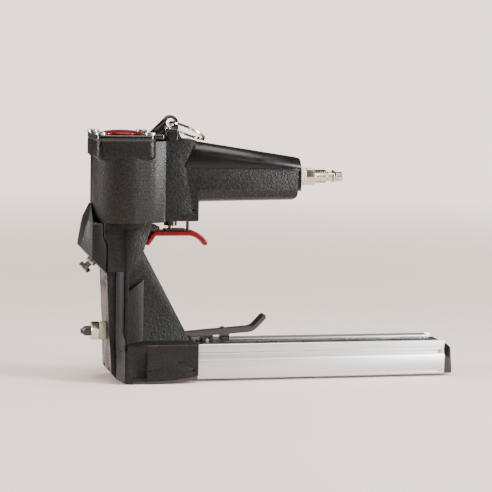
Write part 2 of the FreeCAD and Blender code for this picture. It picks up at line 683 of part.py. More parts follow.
def air_bushing():
    body = rod_x(BUSH_THREAD_R, HANDLE_END - BUSH_DEPTH + COLLAR_T, BUSH_FACE, 0, AIRWAY_Z)
    flange = rod_x(BUSH_R, BUSH_FACE, SEAL_X, 0, AIRWAY_Z)
    return body.fuse(flange).removeSplitter().cut(
        rod_x(PLUG_THREAD_R, HANDLE_END - 40, SEAL_X + 1, 0, AIRWAY_Z))


def plug_seal():
    """Sealing washers between the bushing and the plug."""
    x1 = SEAL_X + SEAL_L / 2
    outline = [(SEAL_X, SEAL_R), (x1 - 0.2, SEAL_R), (x1, SEAL_R - 0.5),
               (x1 + 0.2, SEAL_R - 0.1), (PLUG_X - 0.4, SEAL_R - 0.1), (PLUG_X, SEAL_R - 0.5)]
    return turned_x(outline, 0, AIRWAY_Z).cut(
        rod_x(PLUG_THREAD_R, SEAL_X - 1, PLUG_X + 1, 0, AIRWAY_Z))


def air_plug():
    x = PLUG_X + PLUG_HEX_L
    neck = x + PLUG_BODY_L + 1.4
    ridge = neck + PLUG_NECK_L + 1.2
    nose = ridge + 2.4
    outline = [(x - 0.5, PLUG_BODY_R), (x + PLUG_BODY_L, PLUG_BODY_R), (neck, PLUG_NECK_R),
               (neck + PLUG_NECK_L, PLUG_NECK_R), (ridge, PLUG_RIDGE_R), (nose, PLUG_NOSE_R),
               (nose + PLUG_NOSE_L - 0.5, PLUG_NOSE_R), (nose + PLUG_NOSE_L, PLUG_NOSE_R - 0.5)]
    body = turned_x(outline, 0, AIRWAY_Z)
    grip = hex_prism(PLUG_HEX_AF, V(PLUG_X, 0, AIRWAY_Z), V(1, 0, 0), PLUG_HEX_L, 30)
    across = PLUG_HEX_AF / math.sqrt(3)
    lathe = turned_x([(PLUG_X, across - 0.7), (PLUG_X + 1, across + 0.2),
                      (x - 1, across + 0.2), (x, across - 0.7)], 0, AIRWAY_Z)
    thread = rod_x(PLUG_THREAD_R, PLUG_X - PLUG_THREAD_L, PLUG_X, 0, AIRWAY_Z)
    solid = joined([body, grip.common(lathe), thread])
    return solid.cut(rod_x(PLUG_BORE_R, PLUG_X - 50, nose + 50, 0, AIRWAY_Z))


# ---- trigger and trigger valve ----
def bent_strip(edges, thickness, y0, y1):
    """A strip of even thickness along a path in the XZ plane, round at its ends."""
    path = Part.Wire([e.toShape() for e in edges])
    outline = path.makeOffset2D(thickness / 2)
    strip = Part.Face(outline).extrude(V(0, y1 - y0, 0))
    strip.translate(V(0, y0 - strip.BoundBox.YMin, 0))
    return strip


def line_xz(a, b):
    return Part.LineSegment(V(a[0], 0, a[1]), V(b[0], 0, b[1]))


def arc_xz(a, b, c):
    return Part.Arc(V(a[0], 0, a[1]), V(b[0], 0, b[1]), V(c[0], 0, c[1]))


def trigger():
    z = TRIGGER_TOP - TRIGGER_T / 2
    front = TRIGGER_PIVOT_X
    path = [line_xz((front - 6.8, z - 8.0), (front - 3.0, z - 2.9)),
            arc_xz((front - 3.0, z - 2.9), (front - 1.5, z - 0.75), (front + 1.0, z)),
            line_xz((front + 1.0, z), (GUIDE_X + 0.5, z)),
            arc_xz((GUIDE_X + 0.5, z), (GUIDE_X + 8.9, z - 2.9), (GUIDE_X + 14.4, z - 8.4))]
    strip = bent_strip(path, TRIGGER_T, -TRIGGER_HALF_W, TRIGGER_HALF_W)
    sides = [e for e in strip.Edges if abs(abs(e.CenterOfMass.y) - TRIGGER_HALF_W) < 1e-6]
    strip = strip.makeFillet(1.6, sides)
    hub_w = TRIGGER_HALF_W - 2.2
    hub = rod_y(TRIGGER_HUB_R, TRIGGER_PIVOT_X, -hub_w, hub_w, TRIGGER_PIVOT_Z)
    neck = box(TRIGGER_PIVOT_X - TRIGGER_HUB_R, TRIGGER_PIVOT_X + TRIGGER_HUB_R, -hub_w, hub_w,
               z, TRIGGER_PIVOT_Z)
    solid = joined([strip, hub, neck])
    return drill(solid, [
        rod_y(TRIGGER_PIN_R + RUN_GAP, TRIGGER_PIVOT_X, -50, 50, TRIGGER_PIVOT_Z),
        rod_z(GUIDE_PIN_R, GUIDE_X, 0, z, TRIGGER_TOP + 5)])


EAR_IN = TRIGGER_HALF_W + SLIDE_GAP
EAR_OUT = EAR_IN + 2.6


def trigger_pivot_pin():
    return rod_y(TRIGGER_PIN_R, TRIGGER_PIVOT_X, -EAR_OUT, EAR_OUT, TRIGGER_PIVOT_Z)


def trigger_guide_pin():
    pin = rod_z(GUIDE_PIN_R, GUIDE_X, 0, TRIGGER_TOP - TRIGGER_T / 2, GUIDE_PIN_TOP)
    top = [e for e in pin.Edges if abs(e.CenterOfMass.z - GUIDE_PIN_TOP) < 1e-6]
    return pin.makeChamfer(0.4, top)


def trigger_wear_plate():
    plate = box(VALVE_X - 6.0, GUIDE_X - 2.2, -TRIGGER_HALF_W + 2.5, TRIGGER_HALF_W - 2.5,
                TRIGGER_TOP, TRIGGER_TOP + PLATE_T)
    return round_edges(plate, V(0, 0, 1), 1.5, lambda c: True)


VALVE_SHELF = BLOCK_BOTTOM + 8.0


def valve_seal_levels():
    return [BLOCK_BOTTOM + 3.0, VALVE_TOP - 4.5]


def valve_body():
    body = rod_z(VALVE_BODY_R, VALVE_X, 0, BLOCK_BOTTOM, VALVE_TOP)
    collar = rod_z(VALVE_COLLAR_R, VALVE_X, 0, VALVE_COLLAR_BOTTOM, BLOCK_BOTTOM)
    solid = body.fuse(collar).removeSplitter()
    cuts = [rod_z(VALVE_STEM_R + JOINT_FIT, VALVE_X, 0, VALVE_COLLAR_BOTTOM - 1, VALVE_TOP),
            rod_z(4.2, VALVE_X, 0, VALVE_SHELF, VALVE_TOP - 1.5),
            rod_z(1.5, VALVE_X, 0, VALVE_TOP - 2, VALVE_TOP + 1)]
    return drill(solid, cuts).cut(valve_seals())


def valve_seals():
    rings = []
    for z in valve_seal_levels():
        ring = rod_z(VALVE_BODY_R, VALVE_X, 0, z, z + VALVE_SEAL_H)
        rings.append(ring.cut(rod_z(VALVE_BODY_R - 1.4, VALVE_X, 0, z - 1, z + 5)))
    return Part.makeCompound(rings)


STEM_BOTTOM = TRIGGER_TOP + PLATE_T + 0.5


def valve_stem():
    stem = rod_z(VALVE_STEM_R, VALVE_X, 0, STEM_BOTTOM, VALVE_SHELF + 3.5)
    shoulder = rod_z(3.4, VALVE_X, 0, VALVE_SHELF + 0.6, VALVE_SHELF + 2.4)
    return stem.fuse(shoulder).removeSplitter()


def valve_spring():
    spring = coil_spring(3.0, 0.35, 4, VALVE_SHELF + 2.5, VALVE_TOP - 1.6)
    spring.translate(V(VALVE_X, 0, 0))
    return spring


def block_roll_pin():
    pin = rod_y(PIN_R, PIN_X, -BLOCK_HALF_W + 0.4, BLOCK_HALF_W - 0.4, PIN_Z)
    return pin.cut(rod_y(PIN_R - 0.5, PIN_X, -50, 50, PIN_Z))


# ---- nose ----
ARM_FACE = DRIVER_T / 2 + CHANNEL_GAP      # front face of the rear casting
CLINCH_FRONT_X = CLINCH_BACK_X - CLINCH_T
CLINCH_REACH = math.hypot(CLINCH_TIP[0] - CLINCH_PIVOT_Y, CLINCH_TIP[1] - CLINCH_PIVOT_Z)
GUIDE_FRONT_X = CLINCH_FRONT_X - SLIDE_GAP
TUNNEL_HALF_W = MAG_HALF_W + SLIDE_GAP
TUNNEL_TOP = MAG_TOP + SLIDE_GAP


def front_x(z):
    """Front face of the nose, which leans forward towards the top."""
    share = (z - NOSE_CHAMFER_Z) / (FRONT_PLATE_TOP - NOSE_CHAMFER_Z)
    return FRONT_FOOT_X + (FRONT_TOP_X - FRONT_FOOT_X) * share


def nose_toe():
    """What the rounded toe of the nose leaves out, below and in front."""
    return side_plate([(FRONT_TOP_X - 9, NOSE_CHAMFER_Z), (front_x(NOSE_CHAMFER_Z), NOSE_CHAMFER_Z),
                       (-5.6, 4.2), (-1.4, 1.9), (3.0, 0.5), (6.5, 0.0), (6.5, -5),
                       (FRONT_TOP_X - 9, -5)], -60, 60)


def driver_channel(z0, z1):
    half_t = DRIVER_T / 2 + CHANNEL_GAP
    half_w = DRIVER_W / 2 + CHANNEL_GAP
    return box(-half_t, half_t, -half_w, half_w, z0, z1)


def shoe_outline():
    return [(SHOE_FRONT, SHOE_BOTTOM), (SOLE_CURVE_X, SHOE_BOTTOM),
            (SOLE_CURVE_X + SOLE_CURVE_L, SHOE_BOTTOM + SOLE_CURVE_H),
            (SHOE_REAR, SHOE_BOTTOM + SOLE_RISE), (SHOE_REAR, SHOE_TOP), (SHOE_FRONT, SHOE_TOP)]


def latch_slot():
    """Opening in the rear edge of the gusset for the latch lever."""
    y = LATCH_HALF_W + SLIDE_GAP
    return side_plate([(LATCH_PIVOT_X - 5.5, SHOE_TOP), (SHOE_REAR + 5, SHOE_TOP),
                       (SHOE_REAR + 5, LATCH_PIVOT_Z + 24),
                       (LATCH_PIVOT_X - 5.5, LATCH_PIVOT_Z + 24)], -y, y)


def nose_casting():
    flange = box(-17.6, 23.9, -ARM_HALF_W + 3, ARM_HALF_W - 3, ARM_TOP - ARM_FLANGE_T, ARM_TOP)
    flange = round_edges(flange, V(0, 0, 1), 6.0, lambda c: c.x > 0)
    funnel = side_plate([(-18, ARM_TOP), (23.9, ARM_TOP), (23.4, ARM_TOP - 2),
                         (GUSSET_NECK_X, GUSSET_NECK_Z), (ARM_BACK_X, FRONT_PLATE_TOP),
                         (front_x(FRONT_PLATE_TOP), FRONT_PLATE_TOP),
                         (front_x(FRONT_PLATE_TOP), 121), (-18, 126)],
                        -ARM_HALF_W + 2, ARM_HALF_W - 2)
    funnel = round_edges(funnel, V(0, 0, 1), 3.0, lambda c: c.x < FRONT_PLATE_TOP)
    column = box(ARM_FACE, ARM_BACK_X + 1.2, -ARM_HALF_W, ARM_HALF_W, 0, FRONT_PLATE_TOP)
    top = FRONT_PLATE_TOP
    cheek = side_plate([(ARM_FACE, top), (ARM_BACK_X, top), (GUSSET_NECK_X, GUSSET_NECK_Z),
                        (12.0, ARM_TOP - ARM_FLANGE_T), (ARM_FACE, ARM_TOP - ARM_FLANGE_T)],
                       -ARM_HALF_W, ARM_HALF_W)
    gusset = side_plate([(ARM_FACE + 1, SHOE_TOP - 1), (GUSSET_FOOT_X, SHOE_TOP - 1),
                         (GUSSET_NECK_X, GUSSET_NECK_Z), (ARM_FACE + 1, GUSSET_NECK_Z)],
                        -GUSSET_HALF_W, GUSSET_HALF_W)
    web = flat_plate([(ARM_BACK_X, -ARM_HALF_W), (SHOE_FRONT, -GUSSET_HALF_W),
                      (SHOE_FRONT, GUSSET_HALF_W), (ARM_BACK_X, ARM_HALF_W)], 28.5, 90)
    web = web.cut(side_plate([(-5, 74.5), (30, 92.4), (30, 120), (-5, 120)], -60, 60))
    lower_web = flat_plate([(ARM_BACK_X, -SHOE_HALF_W + 2), (SHOE_FRONT + 1, -SHOE_HALF_W),
                            (SHOE_FRONT + 1, SHOE_HALF_W), (ARM_BACK_X, SHOE_HALF_W - 2)],
                           28.0, SHOE_TOP)
    cheeks = box(ARM_FACE, SHOE_FRONT + 1, -ARM_HALF_W - 3.5, ARM_HALF_W + 3.5, 0, 29)
    shoe = side_plate(shoe_outline(), -SHOE_HALF_W, SHOE_HALF_W)
    shoe = shoe.makeFillet(0.8, [e for e in shoe.Edges
                                 if abs(abs(e.CenterOfMass.y) - SHOE_HALF_W) < 1e-6])
    ears = []
    for side in (-1, 1):
        y0 = min(side * EAR_IN, side * EAR_OUT)
        y1 = max(side * EAR_IN, side * EAR_OUT)
        ear = box(18.5, TRIGGER_PIVOT_X + 2.4, y0, y1, TRIGGER_TOP + 0.1, TRIGGER_PIVOT_Z + 2.2)
        ears.append(round_edges(ear, V(0, 1, 0), 1.0, lambda c: c.x > TRIGGER_PIVOT_X))
    solid = joined([flange, funnel, cheek, column, gusset, web, lower_web, cheeks, shoe] + ears)
    window = []
    for side in (-1, 1):
        inner = side * (SHOE_HALF_W - SHOE_RECESS)
        y0 = min(inner, side * 40)
        y1 = max(inner, side * 40)
        window.append(box(ARM_BACK_X + 2.2, SHOE_FRONT - 0.4, y0, y1, 5.2, 27.6))
        step = side * (SHOE_HALF_W - SHOE_STEP)
        window.append(box(SHOE_FRONT - 0.4, SHOE_REAR + 1, min(step, side * 40),
                          max(step, side * 40), 0, SHOE_STEP_Z))
    return drill(solid, [
        driver_channel(-1, 200), nose_toe(), latch_slot(), sole_plate(),
        box(ARM_FACE - 1, SHOE_REAR + 1, -TUNNEL_HALF_W, TUNNEL_HALF_W, -1, TUNNEL_TOP),
        rod_y(TRIGGER_PIN_R, TRIGGER_PIVOT_X, -50, 50, TRIGGER_PIVOT_Z),
        rod_y(LATCH_PIN_R, LATCH_PIVOT_X, -GUSSET_HALF_W + 1.2, GUSSET_HALF_W - 1.2,
              LATCH_PIVOT_Z)] + window
        + [rod_y(r, x, -50, 50, z) for x, z, r in shoe_pin_places()]
        + [rod_z(ARM_SCREW_R, x, y, ARM_TOP - ARM_FLANGE_T - 30, ARM_TOP + 1)
           for x, y in arm_screw_places()]
        + [rod_z(4.6, x, y, ARM_TOP - ARM_FLANGE_T - 40, ARM_TOP - ARM_FLANGE_T)
           for x, y in arm_screw_places()])


def shoe_pin_places():
    """(x, z, radius) of the pins through the shoe's sides."""
    return [(SHOE_FRONT + 1.7, 11.8, 0.9), (SHOE_REAR - 4.8, 12.2, 1.4), (47.6, 18.8, 0.7)]


def shoe_pins():
    solids = []
    for x, z, r in shoe_pin_places():
        for side in (-1, 1):
            y0 = min(side * TUNNEL_HALF_W, side * (SHOE_HALF_W - PIN_RECESS))
            y1 = max(side * TUNNEL_HALF_W, side * (SHOE_HALF_W - PIN_RECESS))
            solids.append(rod_y(r, x, y0, y1, z))
    return Part.makeCompound(solids)


def arm_screws():
    solids = []
    for x, y in arm_screw_places():
        shank = rod_z(ARM_SCREW_R, x, y, ARM_TOP - ARM_FLANGE_T, BARREL_BOTTOM + 4)
        head = rod_z(4.2, x, y, ARM_TOP - ARM_FLANGE_T - 4, ARM_TOP - ARM_FLANGE_T)
        solids.append(shank.fuse(head).removeSplitter())
    return Part.makeCompound(solids)


def plate_screw_places():
    return [(y, z) for z in (FRONT_PLATE_TOP - 8, 62.0, 24.5)
            for y in (-PLATE_SCREW_Y, PLATE_SCREW_Y)]


def clinch_sweep():
    """Room in front of the driver for both clincher arms."""
    reach = CLINCH_REACH + 0.7
    room = []
    for side in (-1, 1):
        inner = side * (CLINCH_PIVOT_Y - CLINCH_HUB_R - 0.5)
        outer = side * (CLINCH_TIP[0] + 0.6)
        y0 = min(inner, outer)
        y1 = max(inner, outer)
        room.append(box(GUIDE_FRONT_X - 1, CLINCH_BACK_X + SLIDE_GAP, y0, y1, -5,
                        CLINCH_PIVOT_Z + CLINCH_HUB_R + 0.6))
    disc = Part.makeCompound([rod_x(reach, GUIDE_FRONT_X - 2, CLINCH_BACK_X + 2,
                                    side * CLINCH_PIVOT_Y, CLINCH_PIVOT_Z) for side in (-1, 1)])
    return [r.common(disc) for r in room]


def guide_plate():
    """Middle layer of the nose: the front wall of the driver channel."""
    upper = box(GUIDE_FRONT_X, ARM_FACE, -GUIDE_HALF_W, GUIDE_HALF_W, 0,
                FRONT_PLATE_TOP)
    lower = end_plate([(-GUIDE_HALF_W, 44), (-ARM_HALF_W - 3.5, 27), (-ARM_HALF_W - 3.5, 0),
                       (ARM_HALF_W + 3.5, 0), (ARM_HALF_W + 3.5, 27), (GUIDE_HALF_W, 44)],
                      GUIDE_FRONT_X, ARM_FACE)
    solid = upper.fuse(lower).removeSplitter()
    holes = [rod_x(PLATE_SCREW_R, GUIDE_FRONT_X - 1, PLATE_SCREW_END, y, z)
             for y, z in plate_screw_places()]
    holes += [rod_x(CLINCH_PIN_R, GUIDE_FRONT_X - 1, CLINCH_BACK_X + 1.2,
                    side * CLINCH_PIVOT_Y, CLINCH_PIVOT_Z) for side in (-1, 1)]
    return drill(solid, [driver_channel(-1, 200), nose_toe()] + clinch_sweep() + holes)


def front_plate():
    z0 = NOSE_CHAMFER_Z
    tip = GUIDE_FRONT_X
    solid = side_plate([(tip, 1.0), (tip, FRONT_PLATE_TOP), (front_x(FRONT_PLATE_TOP),
                        FRONT_PLATE_TOP), (front_x(z0), z0), (front_x(z0) + 1, 1.0)],
                       -FRONT_HALF_W, FRONT_HALF_W)
    flare = end_plate([(-FRONT_HALF_W, 40), (-ARM_HALF_W, 24), (-ARM_HALF_W, 1),
                       (ARM_HALF_W, 1), (ARM_HALF_W, 24), (FRONT_HALF_W, 40)],
                      front_x(40), tip)
    flare = flare.common(side_plate([(tip, 0), (tip, 41), (front_x(41), 41),
                                     (front_x(0), 0)], -60, 60))
    solid = joined([solid, flare])
    corner = [e for e in solid.Edges if e.CenterOfMass.x < tip - 2 and e.Length > 40
              and abs(abs(e.CenterOfMass.y) - FRONT_HALF_W) < 0.5
              and not is_along(e, V(0, 1, 0))]
    solid = solid.makeFillet(1.2, corner)
    holes = [rod_x(PLATE_SCREW_R, -30, tip + 1, y, z) for y, z in plate_screw_places()]
    holes += [rod_x(PLATE_SCREW_R + 1.8, -30, front_x(z) + 2.0, y, z)
              for y, z in plate_screw_places()]
    holes += [rod_x(CLINCH_PIN_R, -30, tip + 1, side * CLINCH_PIVOT_Y, CLINCH_PIVOT_Z)
              for side in (-1, 1)]
    holes.append(rod_x(ADJUST_ROD_R - 1.2, -30, tip + 1, 0, ADJUST_Z))
    return drill(solid, [nose_toe()] + holes)


def front_plate_screws():
    solids = []
    for y, z in plate_screw_places():
        seat = front_x(z) + 2.0
        shank = rod_x(PLATE_SCREW_R, seat, PLATE_SCREW_END, y, z)
        head = rod_x(PLATE_SCREW_R + 1.6, seat - 2.0, seat, y, z)
        key = hex_prism(2.5, V(seat - 2.5, y, z), V(1, 0, 0), 1.8)
        solids.append(shank.fuse(head).removeSplitter().cut(key))
    return Part.makeCompound(solids)


def guard_shell(inset):
    """The cover's outside, or its inside when inset by the wall."""
    i = inset
    back = BARREL_FRONT - SEAT_GAP
    outline = [(back + i, GUARD_TOP[1] - 4 * i), (GUARD_TOP[0], GUARD_TOP[1] - 4 * i),
               (GUARD_BROW[0] + i, GUARD_BROW[1]), (GUARD_NOSE[0] + i, GUARD_NOSE[1] + 0.3 * i),
               (GUARD_FOOT[0] + 1.2 * i, GUARD_FOOT[1]), (GUARD_FOOT[0] + 1.2 * i, 120.0),
               (-18.3 + i, 125.5), (-18.3 + i, ARM_TOP), (back + i, ARM_TOP)]
    w = GUARD_HALF_W - i
    shell = side_plate(outline, -w, w)
    peak = GUARD_PEAK_HALF_W - 0.8 * i
    gable = [(-w, GUARD_FOOT[1] - 1), (w, GUARD_FOOT[1] - 1), (w, GUARD_SHOULDER_Z - 0.8 * i),
             (peak, GUARD_TOP[1] - i), (-peak, GUARD_TOP[1] - i), (-w, GUARD_SHOULDER_Z - 0.8 * i)]
    shell = shell.common(end_plate(gable, GUARD_NOSE[0] - 5, 0))
    bevel = 11.0
    for side in (-1, 1):
        cut = flat_plate([(GUARD_NOSE[0] - 5, side * (w - bevel)),
                          (GUARD_NOSE[0], side * (w - bevel)),
                          (GUARD_NOSE[0] + bevel * 0.8, side * w),
                          (GUARD_NOSE[0] + bevel * 0.8, side * (w + 5)),
                          (GUARD_NOSE[0] - 5, side * (w + 5))], 90, 160)
        shell = shell.cut(cut)
    return shell


def guard_normal():
    dx = GUARD_FOOT[0] - GUARD_NOSE[0]
    dz = GUARD_FOOT[1] - GUARD_NOSE[1]
    length = math.hypot(dx, dz)
    return V(dz / length, 0, -dx / length)


def guard_bolt_seat():
    return V(GUARD_NOSE[0] + (GUARD_FOOT[0] - GUARD_NOSE[0]) * GUARD_BOLT_SHARE, 0,
             GUARD_NOSE[1] + (GUARD_FOOT[1] - GUARD_NOSE[1]) * GUARD_BOLT_SHARE)


def guard_bolt_hole(radius):
    n = guard_normal()
    return Part.makeCylinder(radius, 16, guard_bolt_seat() - n * 10, n)


def front_guard():
    """Hollow cover over the front of the arm, below the cylinder."""
    solid = guard_shell(0).cut(guard_shell(GUARD_T))
    return solid.cut(guard_bolt_hole(GUARD_BOLT_R))


def guard_bolt():
    n = guard_normal()
    seat = guard_bolt_seat()
    shank = Part.makeCylinder(GUARD_BOLT_R, 14.5, seat - n * 7, n)
    head = hex_prism(9.5, seat + n * 7, n, 4.2, 20)
    round_off = Part.makeSphere(6.6, seat + n * 6.4)
    return shank.fuse(head.common(round_off)).removeSplitter()


def guard_nut():
    n = guard_normal()
    seat = guard_bolt_seat()
    nut = hex_prism(8.0, seat + n * 0.1, n, 3.0, 5)
    return nut.cut(Part.makeCylinder(GUARD_BOLT_R, 20, seat - n * 5, n))


# ---- clinchers ----
def clincher(side):
    y, z = CLINCH_PIVOT_Y, CLINCH_PIVOT_Z
    outline = [(y, z + CLINCH_HUB_R), (y + 8.0, z + 3.0), (y + 11.4, z - 0.6), CLINCH_TIP,
               (y + 10.2, z - 5.0), (y + 7.0, z - 2.4), (y, z - CLINCH_HUB_R)]
    outline = [(side * a, b) for a, b in outline]
    arm = end_plate(outline, CLINCH_FRONT_X, CLINCH_BACK_X)
    hub = rod_x(CLINCH_HUB_R, CLINCH_FRONT_X, CLINCH_BACK_X, side * y, z)
    bore = rod_x(CLINCH_PIN_R + RUN_GAP, CLINCH_FRONT_X - 1, CLINCH_BACK_X + 1, side * y, z)
    return arm.fuse(hub).removeSplitter().cut(bore)


def clincher_left():
    return clincher(1)


def clincher_right():
    return clincher(-1)


def clincher_pins():
    x0 = front_x(CLINCH_PIVOT_Z) + 1.0
    return Part.makeCompound([rod_x(CLINCH_PIN_R, x0, CLINCH_BACK_X + 1.2,
                                    side * CLINCH_PIVOT_Y, CLINCH_PIVOT_Z)
                              for side in (-1, 1)])


# ---- depth adjuster pieces ----
def adjuster_collar():
    face = min(front_x(ADJUST_Z - ADJUST_COLLAR_R), front_x(ADJUST_Z + ADJUST_COLLAR_R))
    ring = rod_x(ADJUST_COLLAR_R, face - ADJUST_COLLAR_T, face, 0, ADJUST_Z)
    ring = ring.makeFillet(1.2, [e for e in ring.Edges if abs(e.CenterOfMass.x
                                                             - ring.BoundBox.XMin) < 1e-6])
    return ring.cut(rod_x(ADJUST_ROD_R, -80, 0, 0, ADJUST_Z))


def adjuster_nut():
    x1 = adjuster_collar().BoundBox.XMin
    nut = hex_prism(ADJUST_NUT_AF, V(x1 - ADJUST_NUT_T, 0, ADJUST_Z), V(1, 0, 0),
                    ADJUST_NUT_T, 12)
    r = ADJUST_NUT_AF / math.sqrt(3)
    lathe = turned_x([(x1 - ADJUST_NUT_T, r - 1.0), (x1 - ADJUST_NUT_T + 1.2, r + 0.2),
                      (x1 - 1.2, r + 0.2), (x1, r - 1.0)], 0, ADJUST_Z)
    return nut.common(lathe).cut(rod_x(ADJUST_ROD_R, -80, 0, 0, ADJUST_Z))


def adjuster_rod():
    """Threaded rod with a pointed outer end and a thin inner end."""
    face = front_x(ADJUST_Z)
    outline = [(ADJUST_TIP_X, 1.4), (ADJUST_TIP_X + 0.4, 2.2), (ADJUST_TIP_X + 1.6, 2.4),
               (ADJUST_TIP_X + 3.6, ADJUST_ROD_R), (face - 0.8, ADJUST_ROD_R),
               (face - 0.8, ADJUST_ROD_R - 1.2), (GUIDE_FRONT_X - 0.1, ADJUST_ROD_R - 1.2)]
    rod = turned_x(outline, 0, ADJUST_Z)
    flats = [box(ADJUST_TIP_X + 2.0, ADJUST_TIP_X + 8.5, s * 3.4 - 1 + s, s * 3.4 + 1 + s,
                 ADJUST_Z - 6, ADJUST_Z + 6) for s in (-1, 1)]
    return drill(rod, flats)


# ---- magazine ----
def sole_plate():
    """Steel skids under the shoe, joined in front of the magazine."""
    curve = [(8.0, 0.0), (SOLE_CURVE_X, 0.0), (SOLE_CURVE_X + SOLE_CURVE_L, SOLE_CURVE_H),
             (SHOE_REAR - 0.4, SOLE_RISE)]
    under = curve + [(x, z + SOLE_T) for x, z in reversed(curve)]
    w = SHOE_HALF_W - SHOE_STEP - 0.2
    plate = side_plate(under, -w, w)
    plate = plate.cut(box(MAG_FRONT - 0.6, SHOE_REAR + 5, -TUNNEL_HALF_W, TUNNEL_HALF_W, -5, 40))
    for side in (-1, 1):
        y0 = min(side * (ARM_HALF_W + 3.5), side * 60)
        y1 = max(side * (ARM_HALF_W + 3.5), side * 60)
        plate = plate.cut(box(-20, SHOE_FRONT - 0.1, y0, y1, -5, 40))
    return plate


def magazine_section():
    """(y, z) outline of half of the extrusion's outside, lower edge first."""
    w = MAG_HALF_W
    upper = w - MAG_STEP
    return [(w - 0.9, MAG_BOTTOM), (w, MAG_BOTTOM + 0.9), (w, MAG_BEVEL_Z),
            (upper, MAG_BEVEL_Z + 1.6), (upper, GROOVE_Z - GROOVE_HALF_H),
            (upper - GROOVE_DEPTH, GROOVE_Z), (upper, GROOVE_Z + GROOVE_HALF_H),
            (upper, MAG_TOP - 0.5), (upper - 0.5, MAG_TOP)]


def channel_opening():
    """The two sides of the opening along the top of the channel."""
    return -MAG_HALF_W + NEAR_LIP, MAG_HALF_W - FAR_LIP


def magazine_extrusion():
    half = magazine_section()
    outline = half + [(-y, z) for y, z in reversed(half)]
    solid = end_plate(outline, MAG_FRONT, MAG_END)
    inner_w = MAG_HALF_W - MAG_WALL
    solid = solid.cut(box(MAG_FRONT - 1, MAG_END + 1, -inner_w, inner_w,
                          MAG_BOTTOM + MAG_FLOOR, MAG_TOP - MAG_WALL))
    near, far = channel_opening()
    solid = solid.cut(box(MAG_FRONT - 1, MAG_END + 1, near, far,
                          MAG_TOP - MAG_WALL - 1, MAG_TOP + 1))
    tail = box(COVER_END, MAG_END + 1, -inner_w, inner_w, MAG_TOP - MAG_WALL - 1,
               MAG_TOP + 1)
    solid = solid.cut(tail)
    holes = [rod_y(r, x, -50, 50, z) for x, z, r in magazine_rivet_places()]
    return drill(solid, holes)


def magazine_rivet_places():
    return [(MAG_END - 3.6, 22.4, 1.6), (MAG_END - 5.4, MAG_BOTTOM + 3.0, 0.8)]


def magazine_rivets():
    solids = []
    inner_w = MAG_HALF_W - MAG_WALL
    for x, z, r in magazine_rivet_places():
        for side in (-1, 1):
            y0 = min(side * (inner_w - 1), side * (MAG_HALF_W - 0.4))
            y1 = max(side * (inner_w - 1), side * (MAG_HALF_W - 0.4))
            solids.append(rod_y(r, x, y0, y1, z))
    return Part.makeCompound(solids)


def magazine_cover():
    """Strip that closes the top of the channel, with a slit beside it."""
    near, far = channel_opening()
    strip = box(MAG_FRONT, COVER_END, near, far - SLIT, MAG_TOP - 2.0, MAG_TOP - 0.5)
    window = LATCH_HALF_W + 0.8
    reach = LATCH_ROLLER_X + LATCH_ROLLER_R + 1.2
    return strip.cut(box(MAG_FRONT - 1, reach, -window, window, 0, 50))


def magazine_end_cap():
    x0, x1 = MAG_END, MAG_END + END_CAP_T
    w = MAG_HALF_W - 1.0
    z0, z1 = MAG_BOTTOM + 0.6, END_CAP_TOP
    cap = side_plate([(x0, z0), (x1 - 0.8, z0), (x1, z0 + 1.4), (x1 - 1.6, z1 - 3.0),
                      (x1 - 4.6, z1), (x0, z1)], -w, w)
    inner_w = MAG_HALF_W - MAG_WALL - 0.05
    tongue = box(x0 - 8.0, x0 + 0.5, -inner_w, inner_w, MAG_BOTTOM + MAG_FLOOR + 0.05, 27.0)
    tongue = tongue.cut(box(x0 - 9, x0 - 0.5, -inner_w + 4, inner_w - 4, 2, 40))
    solid = cap.fuse(tongue).removeSplitter()
    return solid.cut(magazine_rivets())


CORE_FRONT = ARM_FACE + 0.1
LEG_BOTTOM = STAPLE_TOP - STAPLE_LEG


def magazine_core():
    """Fixed inner rail that the staples straddle."""
    w = CORE_HALF_W
    top = STAPLE_TOP - STAPLE_WIRE_T - 0.1
    bottom = MAG_BOTTOM + MAG_FLOOR + 0.4
    rail = box(CORE_FRONT, CORE_END, -w, w, bottom, top)
    hollow = box(MAG_FRONT, CORE_END - 6, -w + 2.2, w - 2.2, bottom - 1, top - 2.2)
    foot = box(9.0, MAG_FRONT - 1.5, -w, w, SOLE_T, bottom)
    return rail.cut(hollow).fuse(foot).removeSplitter()


def staple_stick():
    half = CROWN_W / 2
    outer = box(CORE_FRONT, CORE_FRONT + STAPLE_COUNT_LENGTH, -half, half, LEG_BOTTOM, STAPLE_TOP)
    inner = half - STAPLE_WIRE_T
    return outer.cut(box(CORE_FRONT - 1, CORE_FRONT + STAPLE_COUNT_LENGTH + 1, -inner, inner,
                         LEG_BOTTOM - 1, STAPLE_TOP - STAPLE_WIRE_T))


# ---- pusher ----
PUSHER_X = CORE_FRONT + STAPLE_COUNT_LENGTH + SLIDE_GAP


def pusher_roll_place():
    return PUSHER_X + 12.0, STAPLE_TOP + ROLL_R + 0.2


def pusher():
    """Saddle that rides on the rail behind the staples."""
    w = MAG_HALF_W - MAG_WALL - 0.6
    saddle = box(PUSHER_X, PUSHER_X + PUSHER_L, -w, w, LEG_BOTTOM, MAG_TOP - MAG_WALL - 0.5)
    inner = CORE_HALF_W + SLIDE_GAP
    saddle = saddle.cut(box(PUSHER_X - 1, PUSHER_X + PUSHER_L + 1, -inner, inner,
                            LEG_BOTTOM - 1, STAPLE_TOP - STAPLE_WIRE_T + 0.3))
    x, z = pusher_roll_place()
    return saddle.cut(rod_y(ROLL_R + 0.15, x, -5.6, 5.6, z).fuse(
        box(x - ROLL_R - 0.15, x + ROLL_R + 0.15, -5.6, 5.6, z, z + 10)))


